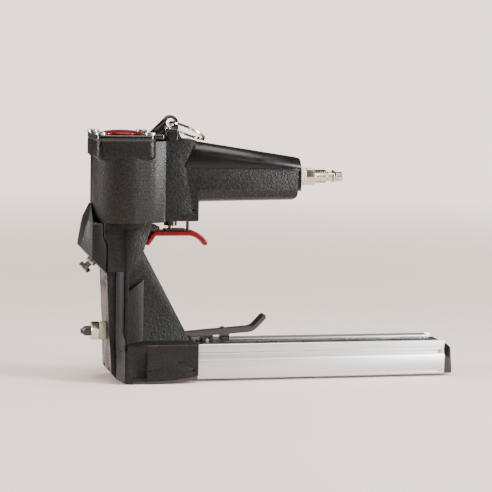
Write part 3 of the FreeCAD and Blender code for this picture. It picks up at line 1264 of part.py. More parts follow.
def pusher_spring_roll():
    """Coiled strip that draws the pusher forward."""
    x, z = pusher_roll_place()
    roll = rod_y(ROLL_R, x, -5.2, 5.2, z).cut(rod_y(ROLL_R - 1.6, x, -9, 9, z))
    return roll


# ---- latch lever ----
def latch_path():
    slope = 0.074
    x0, z0 = LATCH_PIVOT_X, LATCH_PIVOT_Z - 1.0
    x1 = x0 + 60.0
    z1 = z0 + slope * 60.0
    return [line_xz((x0, z0), (x1, z1)),
            arc_xz((x1, z1), (x1 + 5.0, z1 + 1.3), (x1 + 8.6, z1 + 4.3)),
            line_xz((x1 + 8.6, z1 + 4.3), (x1 + 14.6, z1 + 10.6))]


def latch_lever():
    y = LATCH_HALF_W
    strip = bent_strip(latch_path(), LATCH_STRIP_T, -y, y)
    strip = strip.makeFillet(0.9, [e for e in strip.Edges if abs(abs(e.CenterOfMass.y) - y) < 1e-6])
    hub = rod_y(3.9, LATCH_PIVOT_X, -y, y, LATCH_PIVOT_Z)
    cheeks = box(LATCH_ROLLER_X - 5.2, LATCH_ROLLER_X + 5.2, -y, y, LATCH_ROLLER_Z - 1.2, 39.0)
    cheeks = round_edges(cheeks, V(0, 1, 0), 1.1, lambda c: c.z < 35)
    leg = box(LATCH_ROLLER_X + 12.0, LATCH_ROLLER_X + 19.6, -y, y, MAG_TOP + 0.6, 41.0)
    leg = round_edges(leg, V(0, 1, 0), 1.0, lambda c: c.z < 35)
    knob = rod_y(3.2, LATCH_ROLLER_X + 15.0, -y + 0.6, y - 0.6, 40.9)
    solid = joined([strip, hub, cheeks, leg, knob])
    gap = ROLLER_HALF_W + SLIDE_GAP
    return drill(solid, [
        rod_y(LATCH_PIN_R + RUN_GAP, LATCH_PIVOT_X, -20, 20, LATCH_PIVOT_Z),
        rod_y(5.0, LATCH_PIVOT_X, -1.9, 1.9, LATCH_PIVOT_Z),
        rod_y(LATCH_ROLLER_R + 0.35, LATCH_ROLLER_X, -gap, gap, LATCH_ROLLER_Z),
        rod_y(1.5, LATCH_ROLLER_X, -20, 20, LATCH_ROLLER_Z)])


def latch_roller():
    return rod_y(LATCH_ROLLER_R, LATCH_ROLLER_X, -ROLLER_HALF_W, ROLLER_HALF_W,
                 LATCH_ROLLER_Z).cut(rod_y(1.5, LATCH_ROLLER_X, -9, 9, LATCH_ROLLER_Z))


def latch_roller_pin():
    return rod_y(1.5, LATCH_ROLLER_X, -LATCH_HALF_W - 0.6, LATCH_HALF_W + 0.6, LATCH_ROLLER_Z)


def latch_pivot_pin():
    w = GUSSET_HALF_W - 1.2
    return rod_y(LATCH_PIN_R, LATCH_PIVOT_X, -w, w, LATCH_PIVOT_Z)


def latch_spring():
    turns = []
    for i in (-1, 0, 1):
        turns.append(Part.makeTorus(3.3, 0.45, V(LATCH_PIVOT_X, i * 1.0, LATCH_PIVOT_Z),
                                    V(0, 1, 0)))
    return Part.makeCompound(turns)


NODES = [
    body_casting, cylinder_cap, cap_gasket, cap_screws, exhaust_disc, hang_bracket,
    bracket_screws, hang_ring, cylinder_sleeve, bumper, piston, piston_ring, driver_blade,
    head_valve, head_valve_spring, handle_grip, handle_end_collar, air_bushing, plug_seal,
    air_plug, trigger, trigger_pivot_pin, trigger_guide_pin, trigger_wear_plate, valve_body,
    valve_seals, valve_stem, valve_spring, block_roll_pin, nose_casting, shoe_pins, arm_screws,
    guide_plate, front_plate, front_plate_screws, front_guard, guard_bolt, guard_nut,
    clincher_left, clincher_right, clincher_pins, adjuster_collar, adjuster_nut, adjuster_rod,
    sole_plate, magazine_extrusion, magazine_rivets, magazine_cover, magazine_end_cap,
    magazine_core, staple_stick, pusher, pusher_spring_roll, latch_lever, latch_roller,
    latch_roller_pin, latch_pivot_pin, latch_spring,
]


def main():
    os.makedirs("parts", exist_ok=True)
    for make in NODES:
        make().exportStep("parts/" + make.__name__ + ".step")


if __name__ == "__main__":
    main()
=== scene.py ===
import json
import math

import bmesh
import bpy
from bpy.props import FloatProperty, FloatVectorProperty, IntProperty, PointerProperty
from bpy.types import Operator, Panel, PropertyGroup
from mathutils import Matrix, Vector


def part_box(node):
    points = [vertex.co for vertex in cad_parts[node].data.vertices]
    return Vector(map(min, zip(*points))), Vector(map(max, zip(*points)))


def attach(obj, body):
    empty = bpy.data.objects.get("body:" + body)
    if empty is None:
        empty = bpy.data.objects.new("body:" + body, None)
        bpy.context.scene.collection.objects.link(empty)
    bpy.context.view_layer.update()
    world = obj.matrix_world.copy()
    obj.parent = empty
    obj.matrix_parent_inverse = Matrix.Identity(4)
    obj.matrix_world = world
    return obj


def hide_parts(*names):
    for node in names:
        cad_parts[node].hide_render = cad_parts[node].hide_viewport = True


bl_info = {
    "name": "Air stapler finishes",
    "version": (1, 0, 0),
    "blender": (4, 5, 0),
    "location": "3D View > Sidebar > Stapler",
    "description": "Dresses the packed air stapler with finished pieces and materials",
    "category": "Object",
}

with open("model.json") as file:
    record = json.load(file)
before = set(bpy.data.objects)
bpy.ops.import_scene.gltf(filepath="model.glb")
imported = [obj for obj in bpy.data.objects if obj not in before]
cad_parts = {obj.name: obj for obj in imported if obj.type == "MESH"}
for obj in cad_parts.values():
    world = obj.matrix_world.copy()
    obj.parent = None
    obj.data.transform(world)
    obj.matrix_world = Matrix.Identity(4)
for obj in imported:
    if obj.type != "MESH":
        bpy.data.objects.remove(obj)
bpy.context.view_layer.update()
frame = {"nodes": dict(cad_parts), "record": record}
MM = 0.001
MERGE_DISTANCE = 0.002 * MM      # vertices of the CAD meshes closer than this are one
FLAT_ANGLE = math.radians(0.5)   # faces closer to flat than this are one
SHARP_ANGLE = math.radians(32)   # edges sharper than this are rounded


def linear(code):
    """Linear RGB of an sRGB hex colour."""
    values = [int(code[i:i + 2], 16) / 255 for i in (1, 3, 5)]
    return tuple(v / 12.92 if v <= 0.04045 else ((v + 0.055) / 1.055) ** 2.4 for v in values)


# ---- properties ----
def length(name, description, default_mm):
    return FloatProperty(name=name, description=description, default=default_mm * MM,
                         min=0.0, unit="LENGTH")


def colour(name, description, code):
    return FloatVectorProperty(name=name, description=description, subtype="COLOR", size=3,
                               min=0.0, max=1.0, default=linear(code))


class StaplerSizes(PropertyGroup):
    cast_edge: length("Cast edge", "Rounding of the castings' edges", 0.7)
    sheet_edge: length("Sheet edge", "Rounding of pressed and moulded edges", 0.35)
    machined_edge: length("Machined edge", "Rounding of turned and milled edges", 0.2)
    powder_grain: length("Powder grain", "Lump size of the textured powder coat", 1.5)
    ring_turns: FloatProperty(name="Ring turns", description="Turns of flat wire in the hang ring",
                              default=1.94, min=1.1, max=3.0)
    staple_gap: length("Staple gap", "Glue line between two staples", 0.12)
    socket_seed: IntProperty(name="Socket seed", description="How the screws came to rest",
                             default=7, min=0)


class StaplerColours(PropertyGroup):
    powder: colour("Powder coat", "Textured coat of the castings", "#0c0c0b")
    gloss: colour("Black enamel", "Gloss coat of the cap and plates", "#060607")
    grip: colour("Grip", "Smooth moulded grip", "#0d0a08")
    red: colour("Red lacquer", "Trigger and exhaust disc", "#6e0006")
    aluminium: colour("Aluminium", "Extruded magazine", "#d9dbdd")
    nickel: colour("Nickel", "Plated plug and ring", "#c9c1ad")
    zinc: colour("Zinc", "Plated screws and strip", "#bdbdba")
    brass: colour("Brass", "Turned fittings", "#b4914a")
    nylon: colour("Nylon", "Adjuster collar", "#b5b99c")
    seal: colour("Sealing washers", "Cream washers at the plug", "#cfc39c")
    floor: colour("Floor", "Pale floor and surroundings", "#ead6cc")


# ---- nodes ----
def add(tree, kind, settings=None, inputs=None):
    """Adds a node, sets its properties, and sets or links its inputs."""
    node = tree.nodes.new(kind)
    for key, value in (settings or {}).items():
        setattr(node, key, value)
    for key, value in (inputs or {}).items():
        if isinstance(value, bpy.types.NodeSocket):
            tree.links.new(value, node.inputs[key])
        else:
            node.inputs[key].default_value = value
    return node


def surface(name, base, metallic=0.0, roughness=0.5, extra=None):
    """A material with one shader, and its tree, shader and object coordinates."""
    material = bpy.data.materials.new(name)
    material.use_nodes = True
    tree = material.node_tree
    tree.nodes.clear()
    values = {"Base Color": (*base, 1.0), "Metallic": metallic, "Roughness": roughness}
    values.update(extra or {})
    shader = add(tree, "ShaderNodeBsdfPrincipled", None, values)
    add(tree, "ShaderNodeOutputMaterial", None, {"Surface": shader.outputs["BSDF"]})
    place = add(tree, "ShaderNodeTexCoord").outputs["Object"]
    return material, tree, shader, place


def per_metre(size_mm):
    """Noise scale that gives features of a size in millimetres."""
    return 1.0 / (size_mm * MM)


def noise(tree, place, size_mm, detail=2.0, rough=0.5, stretch=(1.0, 1.0, 1.0)):
    mapped = add(tree, "ShaderNodeMapping", None, {"Vector": place, "Scale": stretch})
    node = add(tree, "ShaderNodeTexNoise", None,
               {"Vector": mapped.outputs["Vector"], "Scale": per_metre(size_mm),
                "Detail": detail, "Roughness": rough})
    return node.outputs["Fac"]


def ranged(tree, value, low, high, start=0.3, end=0.7):
    """The noise's useful middle spread over a range of values."""
    node = add(tree, "ShaderNodeMapRange", None,
               {"Value": value, "From Min": start, "From Max": end, "To Min": low, "To Max": high})
    return node.outputs["Result"]


def tinted(tree, value, first, second):
    node = add(tree, "ShaderNodeMix", {"data_type": "RGBA"},
               {0: value, 6: (*first, 1.0), 7: (*second, 1.0)})
    return node.outputs[2]


def shade(base, factor):
    return tuple(min(1.0, c * factor) for c in base)


def bumped(tree, shader, height, depth_mm, strength=1.0):
    node = add(tree, "ShaderNodeBump", None,
               {"Height": height, "Distance": depth_mm * MM, "Strength": strength})
    tree.links.new(node.outputs["Normal"], shader.inputs["Normal"])


def wire(tree, value, shader, socket):
    tree.links.new(value, shader.inputs[socket])


# ---- materials ----
FADE_FROM = 0.5          # the floor runs out into the backdrop between these distances
FADE_TO = 1.8
BACKDROP_GLOW = 3.0


def powder_coated_cast_aluminium(colours, sizes):
    """Die-cast aluminium under a textured powder coat: a dark, dry, lumpy skin that breaks
    reflections up into fine sparks. The lumps are drawn a little coarse so that they show.
    The sparks are partly painted: the base colour is painted lighter on the lump tops as a
    painted highlight, and darker in the hollows between lumps as painted shade."""
    base = tuple(colours.powder)
    material, tree, shader, place = surface("powder_coated_cast_aluminium", base, 0.0, 0.42,
                                            {"Specular IOR Level": 0.26})
    grain_mm = sizes.powder_grain / MM
    lumps = noise(tree, place, grain_mm, 3.0, 0.6)
    drift = noise(tree, place, 28.0, 2.0)
    # painted highlight on the lump tops and painted shade in the hollows: the base colour runs from
    # half to 3.6 times the coat's own
    painted_sparkle_peaks = ranged(tree, lumps, 0.0, 1.0, 0.42, 0.68)
    wire(tree, tinted(tree, painted_sparkle_peaks, shade(base, 0.5), shade(base, 3.6)), shader, "Base Color")
    wire(tree, ranged(tree, drift, 0.28, 0.38), shader, "Roughness")
    bumped(tree, shader, lumps, 0.45, 0.8)
    return material


def gloss_black_enamel(colours):
    """Steel or aluminium plate under smooth black enamel: deep, wet and slightly uneven."""
    base = tuple(colours.gloss)
    material, tree, shader, place = surface("gloss_black_enamel", base, 0.0, 0.16,
                                            {"Coat Weight": 0.5, "Coat Roughness": 0.08})
    film = noise(tree, place, 9.0, 2.0)
    wire(tree, ranged(tree, film, 0.12, 0.24), shader, "Roughness")
    wire(tree, tinted(tree, film, shade(base, 0.8), shade(base, 1.35)), shader, "Base Color")
    bumped(tree, shader, film, 0.05, 0.15)
    return material


def moulded_elastomer(colours):
    """Smooth black thermoplastic elastomer: a warm, satin skin with broad highlights."""
    base = tuple(colours.grip)
    material, tree, shader, place = surface("moulded_elastomer_grip", base, 0.0, 0.3,
                                            {"Specular IOR Level": 0.3})
    skin = noise(tree, place, 14.0, 3.0)
    fine = noise(tree, place, 1.6, 2.0)
    wire(tree, ranged(tree, skin, 0.24, 0.36), shader, "Roughness")
    wire(tree, tinted(tree, skin, shade(base, 0.8), shade(base, 1.4)), shader, "Base Color")
    bumped(tree, shader, fine, 0.04, 0.2)
    return material


def red_lacquered_aluminium(colours):
    """Clear red lacquer over aluminium: saturated, glossy, darker where it is thin."""
    base = tuple(colours.red)
    material, tree, shader, place = surface("red_lacquered_aluminium", base, 0.25, 0.24,
                                            {"Coat Weight": 0.2, "Coat Roughness": 0.1,
                                             "Specular IOR Level": 0.3})
    film = noise(tree, place, 6.0, 3.0)
    wire(tree, tinted(tree, film, shade(base, 0.75), shade(base, 1.2)), shader, "Base Color")
    wire(tree, ranged(tree, film, 0.2, 0.32), shader, "Roughness")
    bumped(tree, shader, noise(tree, place, 1.8, 2.0), 0.04, 0.2)
    return material


def streaked_metal(name, base, roughness, streak, streak_mm, spread=0.08):
    """A metal with drawing or brushing streaks, long along one axis."""
    material, tree, shader, place = surface(name, base, 1.0, roughness)
    lines = noise(tree, place, streak_mm, 3.0, 0.6, streak)
    cloud = noise(tree, place, 18.0, 2.0)
    wire(tree, tinted(tree, lines, shade(base, 0.82), shade(base, 1.08)), shader, "Base Color")
    wire(tree, ranged(tree, cloud, roughness - spread, roughness + spread), shader, "Roughness")
    bumped(tree, shader, lines, 0.02, 0.25)
    return material


def extruded_aluminium(colours):
    """Extruded and clear-anodised aluminium: satin, with faint die lines along X."""
    return streaked_metal("extruded_anodised_aluminium", tuple(colours.aluminium), 0.42,
                          (0.012, 1.0, 1.0), 0.5, 0.02)


def turned_nickel(colours):
    """Nickel plate on turned brass: warm, bright and ringed by the lathe."""
    return streaked_metal("nickel_plated_turned_brass", tuple(colours.nickel), 0.2,
                          (1.0, 0.05, 0.05), 0.8, 0.05)


def zinc_plated_steel(colours):
    """Bright zinc on steel: cool, slightly cloudy silver."""
    return streaked_metal("zinc_plated_steel", tuple(colours.zinc), 0.28, (1.0, 1.0, 1.0), 1.4)


def ground_spring_steel():
    """Hardened and ground steel: grey, with grinding lines across the blade."""
    return streaked_metal("ground_spring_steel", linear("#8f9093"), 0.3, (1.0, 0.03, 1.0), 0.8)


def turned_brass(colours):
    """Plain turned brass: yellow, lightly tarnished."""
    return streaked_metal("turned_brass", tuple(colours.brass), 0.26, (1.0, 0.1, 0.1), 1.0)


def matt_solid(name, base, roughness, grain_mm, depth_mm, extra=None):
    """A moulded plastic, rubber or oxide: one colour, slightly mottled and pitted."""
    material, tree, shader, place = surface(name, base, 0.0, roughness, extra)
    grain = noise(tree, place, grain_mm, 3.0)
    wire(tree, tinted(tree, grain, shade(base, 0.85), shade(base, 1.2)), shader, "Base Color")
    wire(tree, ranged(tree, grain, roughness - 0.07, roughness + 0.07), shader, "Roughness")
    bumped(tree, shader, grain, depth_mm, 0.3)
    return material


def natural_nylon(colours):
    """Natural nylon: greenish cream, waxy and slightly clear."""
    return matt_solid("natural_nylon", tuple(colours.nylon), 0.38, 2.0, 0.05,
                      {"Subsurface Weight": 0.15, "Subsurface Radius": (0.002, 0.002, 0.0015)})


def sealing_fibre(colours):
    """Cream sealing washers: dry, pressed fibre with a dull edge."""
    return matt_solid("pressed_fibre_washer", tuple(colours.seal), 0.5, 1.2, 0.06)


def black_oxide_steel():
    """Steel blackened in hot oxide: nearly black, with an oily satin gleam."""
    return matt_solid("black_oxide_steel", linear("#1a1a1c"), 0.34, 2.5, 0.03,
                      {"Specular IOR Level": 0.7})


def nitrile_rubber():
    """Moulded nitrile seals: soft, dull and dark."""
    return matt_solid("nitrile_rubber", linear("#1b1b1b"), 0.62, 1.5, 0.05)


def floor_paper(colours):
    """Matt background paper that runs out softly into the backdrop, so no edge shows."""
    base = tuple(colours.floor)
    material, tree, shader, place = surface("background_paper", base, 0.0, 0.85)
    tooth = noise(tree, place, 3.0, 3.0)
    wire(tree, tinted(tree, tooth, shade(base, 0.97), shade(base, 1.02)), shader, "Base Color")
    away = add(tree, "ShaderNodeVectorMath", {"operation": "LENGTH"}, {0: place})
    wire(tree, ranged(tree, away.outputs["Value"], 1.0, 0.0, FADE_FROM, FADE_TO), shader, "Alpha")
    return material


def backdrop_glow(colours, strength):
    """An evenly lit, far-off paper backdrop, with a tooth too faint to see as a pattern."""
    base = tuple(colours.floor)
    material, tree, shader, place = surface("backdrop_glow", (0.0, 0.0, 0.0), 0.0, 1.0,
                                            {"Emission Strength": strength})
    tooth = noise(tree, place, 400.0, 2.0)
    wire(tree, tinted(tree, tooth, shade(base, 0.995), base), shader, "Emission Color")
    return material


def make_materials(scene):
    colours, sizes = scene.stapler_colours, scene.stapler_sizes
    return {
        "powder": powder_coated_cast_aluminium(colours, sizes),
        "gloss": gloss_black_enamel(colours),
        "grip": moulded_elastomer(colours),
        "red": red_lacquered_aluminium(colours),
        "aluminium": extruded_aluminium(colours),
        "nickel": turned_nickel(colours),
        "zinc": zinc_plated_steel(colours),
        "spring": ground_spring_steel(),
        "brass": turned_brass(colours),
        "nylon": natural_nylon(colours),
        "seal": sealing_fibre(colours),
        "oxide": black_oxide_steel(),
        "rubber": nitrile_rubber(),
        "paper": floor_paper(colours),
        "backdrop": backdrop_glow(colours, BACKDROP_GLOW),
    }


MATERIALS = {}


# ---- pieces ----
def place_object(name, mesh, material=None):
    obj = bpy.data.objects.new(name, mesh)
    bpy.context.scene.collection.objects.link(obj)
    if material:
        mesh.materials.clear()
        mesh.materials.append(material)
    return obj


def settle(obj):
    """Turns an object with modifiers into a plain mesh of the same name."""
    bpy.context.view_layer.update()
    graph = bpy.context.evaluated_depsgraph_get()
    mesh = bpy.data.meshes.new_from_object(obj.evaluated_get(graph), depsgraph=graph)
    old = obj.data
    obj.modifiers.clear()
    obj.data = mesh
    mesh.name = obj.name
    if old.users == 0:
        bpy.data.meshes.remove(old)
    return obj


def smooth(mesh, angle=35.0):
    mesh.polygons.foreach_set("use_smooth", [True] * len(mesh.polygons))
    mesh.set_sharp_from_angle(angle=math.radians(angle))


def body_of_node(node):
    for body, nodes in frame["record"]["behaviour"]["bodies"].items():
        if node in nodes:
            return body
    raise ValueError("no body holds " + node)


def stand_for(obj, node):
    """The piece moves with the node's body, in the node's place; the node is hidden."""
    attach(obj, body_of_node(node))
    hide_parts(node)
    return obj


def merged_mesh(node):
    """A copy of a CAD node's mesh with its triangles merged into whole faces."""
    mesh = frame["nodes"][node].data.copy()
    bm = bmesh.new()
    bm.from_mesh(mesh)
    bmesh.ops.remove_doubles(bm, verts=bm.verts, dist=MERGE_DISTANCE)
    bmesh.ops.dissolve_limit(bm, angle_limit=FLAT_ANGLE, verts=bm.verts, edges=bm.edges)
    bm.to_mesh(mesh)
    bm.free()
    return mesh


def edge_rounded(node, width, material):
    """The CAD node's shape with its hard edges rounded over."""
    obj = place_object(node + "_finished", merged_mesh(node), MATERIALS[material])
    bevel = obj.modifiers.new("edges", "BEVEL")
    bevel.width = width
    bevel.segments = 2
    bevel.limit_method = "ANGLE"
    bevel.angle_limit = SHARP_ANGLE
    bevel.use_clamp_overlap = True
    bevel.harden_normals = False
    settle(obj)
    smooth(obj.data)
    return stand_for(obj, node)


def paint_node(node, material):
    """Gives a CAD node that stays its material."""
    obj = frame["nodes"][node]
    if not obj.material_slots:
        raise ValueError("no material slot on " + node)
    for slot in obj.material_slots:
        slot.material = MATERIALS[material]


# ---- stage ----
PHOTO_YAW = math.radians(13.5)
PHOTO_PITCH = math.radians(6.7)
PHOTO_ROLL = math.radians(1.2)
CAMERA_PLACE = Vector((-272.2, -1596.35, 307.7)) * MM
CAMERA_LENS = 139.0
FLOOR_RADIUS = 6.0
BACKDROP_RADIUS = 20.0
WORLD_STRENGTH = 0.18


def camera_matrix():
    a, e, roll = PHOTO_YAW, PHOTO_PITCH, PHOTO_ROLL
    forward = Vector((math.sin(a) * math.cos(e), math.cos(a) * math.cos(e), -math.sin(e)))
    right = Vector((math.cos(a), -math.sin(a), 0))
    up = Vector((math.sin(a) * math.sin(e), math.cos(a) * math.sin(e), math.cos(e)))
    side = right * math.cos(roll) + up * math.sin(roll)
    top = up * math.cos(roll) - right * math.sin(roll)
    matrix = Matrix((side, top, -forward)).transposed().to_4x4()
    matrix.translation = CAMERA_PLACE
    return matrix


def area_light(name, place, aim, width, height, power):
    data = bpy.data.lights.new(name, "AREA")
    data.shape = "RECTANGLE"
    data.size = width
    data.size_y = height
    data.energy = power
    obj = bpy.data.objects.new(name, data)
    bpy.context.scene.collection.objects.link(obj)
    obj.location = place
    obj.rotation_euler = (Vector(aim) - Vector(place)).to_track_quat("-Z", "Y").to_euler()
    obj.visible_camera = False
    return obj


def pale_world(base, strength):
    world = bpy.data.worlds.new("studio")
    bpy.context.scene.world = world
    world.use_nodes = True
    tree = world.node_tree
    tree.nodes.clear()
    back = add(tree, "ShaderNodeBackground", None, {"Color": (*base, 1.0), "Strength": strength})
    add(tree, "ShaderNodeOutputWorld", None, {"Surface": back.outputs["Background"]})


def make_backdrop():
    """A far sphere that the camera sees behind the floor, and that lights nothing."""
    mesh = bpy.data.meshes.new("backdrop")
    bm = bmesh.new()
    bmesh.ops.create_uvsphere(bm, u_segments=48, v_segments=24, radius=BACKDROP_RADIUS)
    bmesh.ops.reverse_faces(bm, faces=bm.faces)
    bm.to_mesh(mesh)
    bm.free()
    backdrop = place_object("backdrop", mesh, MATERIALS["backdrop"])
    backdrop.visible_diffuse = False
    backdrop.visible_glossy = False
    backdrop.visible_shadow = False
    backdrop.visible_transmission = False
    return backdrop


class STAPLER_OT_stage(Operator):
    """Builds the floor, the soft lights and the camera"""
    bl_idname = "stapler.stage"
    bl_label = "Stage"

    def execute(self, context):
        mesh = bpy.data.meshes.new("floor")
        bm = bmesh.new()
        bmesh.ops.create_circle(bm, cap_ends=True, segments=96, radius=FLOOR_RADIUS)
        bm.to_mesh(mesh)
        bm.free()
        floor = place_object("floor", mesh, MATERIALS["paper"])
        make_backdrop()
        pale_world(context.scene.stapler_colours.floor, WORLD_STRENGTH)
        aim = Vector((0.1, 0.0, 0.13))
        area_light("left_strip", (-1.3, 0.0, 0.45), aim, 0.2, 1.2, 34.0)
        area_light("right_strip", (1.2, -0.72, 0.5), aim, 0.3, 1.2, 50.0)
        area_light("overhead", (0.15, -0.2, 1.6), aim, 1.3, 1.0, 36.0)
        area_light("low_front", (0.5, -1.7, 0.7), aim, 0.6, 0.6, 4.0)
        data = bpy.data.cameras.new("camera")
        data.lens = CAMERA_LENS
        data.sensor_width = 36.0
        data.clip_end = 50.0
        camera = bpy.data.objects.new("camera", data)
        context.scene.collection.objects.link(camera)
        camera.matrix_world = camera_matrix()
        context.scene.camera = camera
        return {"FINISHED"}


# ---- generators ----
def group_tree(name, sockets):
    """An empty generator with named inputs and one geometry output."""
    tree = bpy.data.node_groups.new(name, "GeometryNodeTree")
    tree.interface.new_socket("Geometry", in_out="INPUT", socket_type="NodeSocketGeometry")
    for label, kind in sockets:
        tree.interface.new_socket(label, in_out="INPUT", socket_type="NodeSocket" + kind)
    tree.interface.new_socket("Geometry", in_out="OUTPUT", socket_type="NodeSocketGeometry")
    source = tree.nodes.new("NodeGroupInput").outputs
    return tree, source


def end_tree(tree, geometry, source):
    """Realises the geometry, gives it the finish and puts it out."""
    real = add(tree, "GeometryNodeRealizeInstances", None, {"Geometry": geometry})
    painted = add(tree, "GeometryNodeSetMaterial", None,
                  {"Geometry": real.outputs["Geometry"], "Material": source["Finish"]})
    add(tree, "NodeGroupOutput", None, {"Geometry": painted.outputs["Geometry"]})


def generate(name, tree, values, mesh=None):
    """Runs a generator with these inputs and returns the plain mesh object it makes."""
    obj = place_object(name, mesh or bpy.data.meshes.new(name))
    modifier = obj.modifiers.new("make", "NODES")
    modifier.node_group = tree
    for item in tree.interface.items_tree:
        if item.in_out == "INPUT" and item.name in values:
            modifier[item.identifier] = values[item.name]
    return settle(obj)


def coil_tree():
    """Wire of a rectangular or round section wound into a coil along Z."""
    tree, source = group_tree("coil", [
        ("Radius", "Float"), ("Turns", "Float"), ("Length", "Float"), ("Steps", "Int"),
        ("Wire width", "Float"), ("Wire height", "Float"), ("Corner", "Float"),
        ("Finish", "Material")])
    line = add(tree, "GeometryNodeCurveSpiral", None,
               {"Resolution": source["Steps"], "Rotations": source["Turns"],
                "Start Radius": source["Radius"], "End Radius": source["Radius"],
                "Height": source["Length"]})
    section = add(tree, "GeometryNodeCurvePrimitiveQuadrilateral", None,
                  {"Width": source["Wire width"], "Height": source["Wire height"]})
    rounded = add(tree, "GeometryNodeFilletCurve", None,
                  {"Curve": section.outputs["Curve"], "Radius": source["Corner"]})
    rounded.mode = "POLY"
    rounded.inputs["Count"].default_value = 3
    upright = add(tree, "GeometryNodeSetCurveNormal", {"mode": "Z_UP"},
                  {"Curve": line.outputs["Curve"]})
    wound = add(tree, "GeometryNodeCurveToMesh", None,
                {"Curve": upright.outputs["Curve"], "Profile Curve": rounded.outputs["Curve"],
                 "Fill Caps": True})
    end_tree(tree, wound.outputs["Mesh"], source)
    return tree


def scatter_tree():
    """One fastener set on every point, turned to an axis and spun by chance."""
    tree, source = group_tree("fasteners", [
        ("Fastener", "Object"), ("Axis", "Vector"), ("Seed", "Int"), ("Finish", "Material")])
    one = add(tree, "GeometryNodeObjectInfo", None, {"Object": source["Fastener"]})
    aligned = add(tree, "FunctionNodeAlignRotationToVector", {"axis": "Z"},
                  {"Vector": source["Axis"]})
    spin = add(tree, "FunctionNodeRandomValue", {"data_type": "FLOAT"},
               {2: 0.0, 3: math.tau, "Seed": source["Seed"]})
    about = add(tree, "FunctionNodeAxisAngleToRotation", None,
                {"Axis": (0, 0, 1), "Angle": spin.outputs[1]})
    turned = add(tree, "FunctionNodeRotateRotation", {"rotation_space": "LOCAL"},
                 {"Rotation": aligned.outputs["Rotation"], "Rotate By": about.outputs["Rotation"]})
    points = add(tree, "GeometryNodeMeshToPoints", None, {"Mesh": source["Geometry"]})
    copies = add(tree, "GeometryNodeInstanceOnPoints", None,
                 {"Points": points.outputs["Points"], "Instance": one.outputs["Geometry"],
                  "Rotation": turned.outputs["Rotation"]})
    end_tree(tree, copies.outputs["Instances"], source)
    return tree


def row_tree():
    """Copies of one piece in a straight row."""
    tree, source = group_tree("row", [
        ("Piece", "Object"), ("Count", "Int"), ("Step", "Vector"), ("Start", "Vector"),
        ("Finish", "Material")])
    line = add(tree, "GeometryNodeMeshLine", None,
               {"Count": source["Count"], "Start Location": source["Start"],
                "Offset": source["Step"]})
    one = add(tree, "GeometryNodeObjectInfo", None, {"Object": source["Piece"]})
    copies = add(tree, "GeometryNodeInstanceOnPoints", None,
                 {"Points": line.outputs["Mesh"], "Instance": one.outputs["Geometry"]})
    end_tree(tree, copies.outputs["Instances"], source)
    return tree


TREES = {}


# ---- turned pieces ----
HEX = "hex"


def ring_radius(spec, angle):
    """A profile radius: a number, or (HEX, across flats) for a six-sided ring."""
    if isinstance(spec, tuple):
        near = math.fmod(angle, math.pi / 3) - math.pi / 6
        return spec[1] / 2 / math.cos(near)
    return spec


def turned_mesh(name, profile, steps=36):
    """A closed solid turned about Z from (radius, z) in millimetres, first and last on the axis."""
    bm = bmesh.new()
    rings = []
    for spec, z in profile:
        ring = []
        for i in range(steps):
            angle = math.tau * i / steps
            r = ring_radius(spec, angle) * MM
            ring.append(bm.verts.new((r * math.cos(angle), r * math.sin(angle), z * MM)))
        rings.append(ring)
    for low, high in zip(rings, rings[1:]):
        for i in range(steps):
            j = (i + 1) % steps
            bm.faces.new((low[i], low[j], high[j], high[i]))
    bm.faces.new(list(reversed(rings[0])))
    bm.faces.new(rings[-1])
    bmesh.ops.recalc_face_normals(bm, faces=bm.faces)
    mesh = bpy.data.meshes.new(name)
    bm.to_mesh(mesh)
    bm.free()
    smooth(mesh)
    return mesh


def socket_screw(name, head_r, head_h, shank_r, shank_length, key, key_depth, dome=0.6):
    """Socket-head screw with its seat at zero, head up."""
    profile = [(shank_r - 0.3, -shank_length), (shank_r, -shank_length + 0.4), (shank_r, -0.02),
               (head_r - 0.15, 0.0), (head_r, 0.2), (head_r, head_h - dome),
               (head_r - 0.3 * dome, head_h - 0.3 * dome), (head_r - dome, head_h),
               ((HEX, key + 0.5), head_h), ((HEX, key), head_h - 0.25),
               ((HEX, key), head_h - key_depth), (0.3, head_h - key_depth - 0.2)]
    return turned_mesh(name, profile)


def points_mesh(name, places):
    mesh = bpy.data.meshes.new(name)
    mesh.from_pydata([tuple(p) for p in places], [], [])
    return mesh


def islands(node):
    """Centres and boxes of a grouped node's separate solids."""
    bm = bmesh.new()
    bm.from_mesh(frame["nodes"][node].data)
    bmesh.ops.remove_doubles(bm, verts=bm.verts, dist=MERGE_DISTANCE)
    left = set(bm.verts)
    found = []
    while left:
        todo = [left.pop()]
        group = list(todo)
        while todo:
            for edge in todo.pop().link_edges:
                for vert in edge.verts:
                    if vert in left:
                        left.remove(vert)
                        todo.append(vert)
                        group.append(vert)
        low = Vector([min(v.co[k] for v in group) for k in range(3)])
        high = Vector([max(v.co[k] for v in group) for k in range(3)])
        found.append((low, high))
    bm.free()
    return sorted(found, key=lambda b: (round(b[0].x, 5), round(b[0].y, 5), round(b[0].z, 5)))


def set_fasteners(node, one, places, axis, material):
    """Replaces a fastener node by detailed fasteners at its own places."""
    sizes = bpy.context.scene.stapler_sizes
    pattern = place_object(node + "_pattern", one)
    obj = generate(node + "_finished", TREES["fasteners"],
                   {"Fastener": pattern, "Axis": axis, "Seed": sizes.socket_seed,
                    "Finish": MATERIALS[material]}, points_mesh(node, places))
    bpy.data.objects.remove(pattern)
    return stand_for(obj, node)


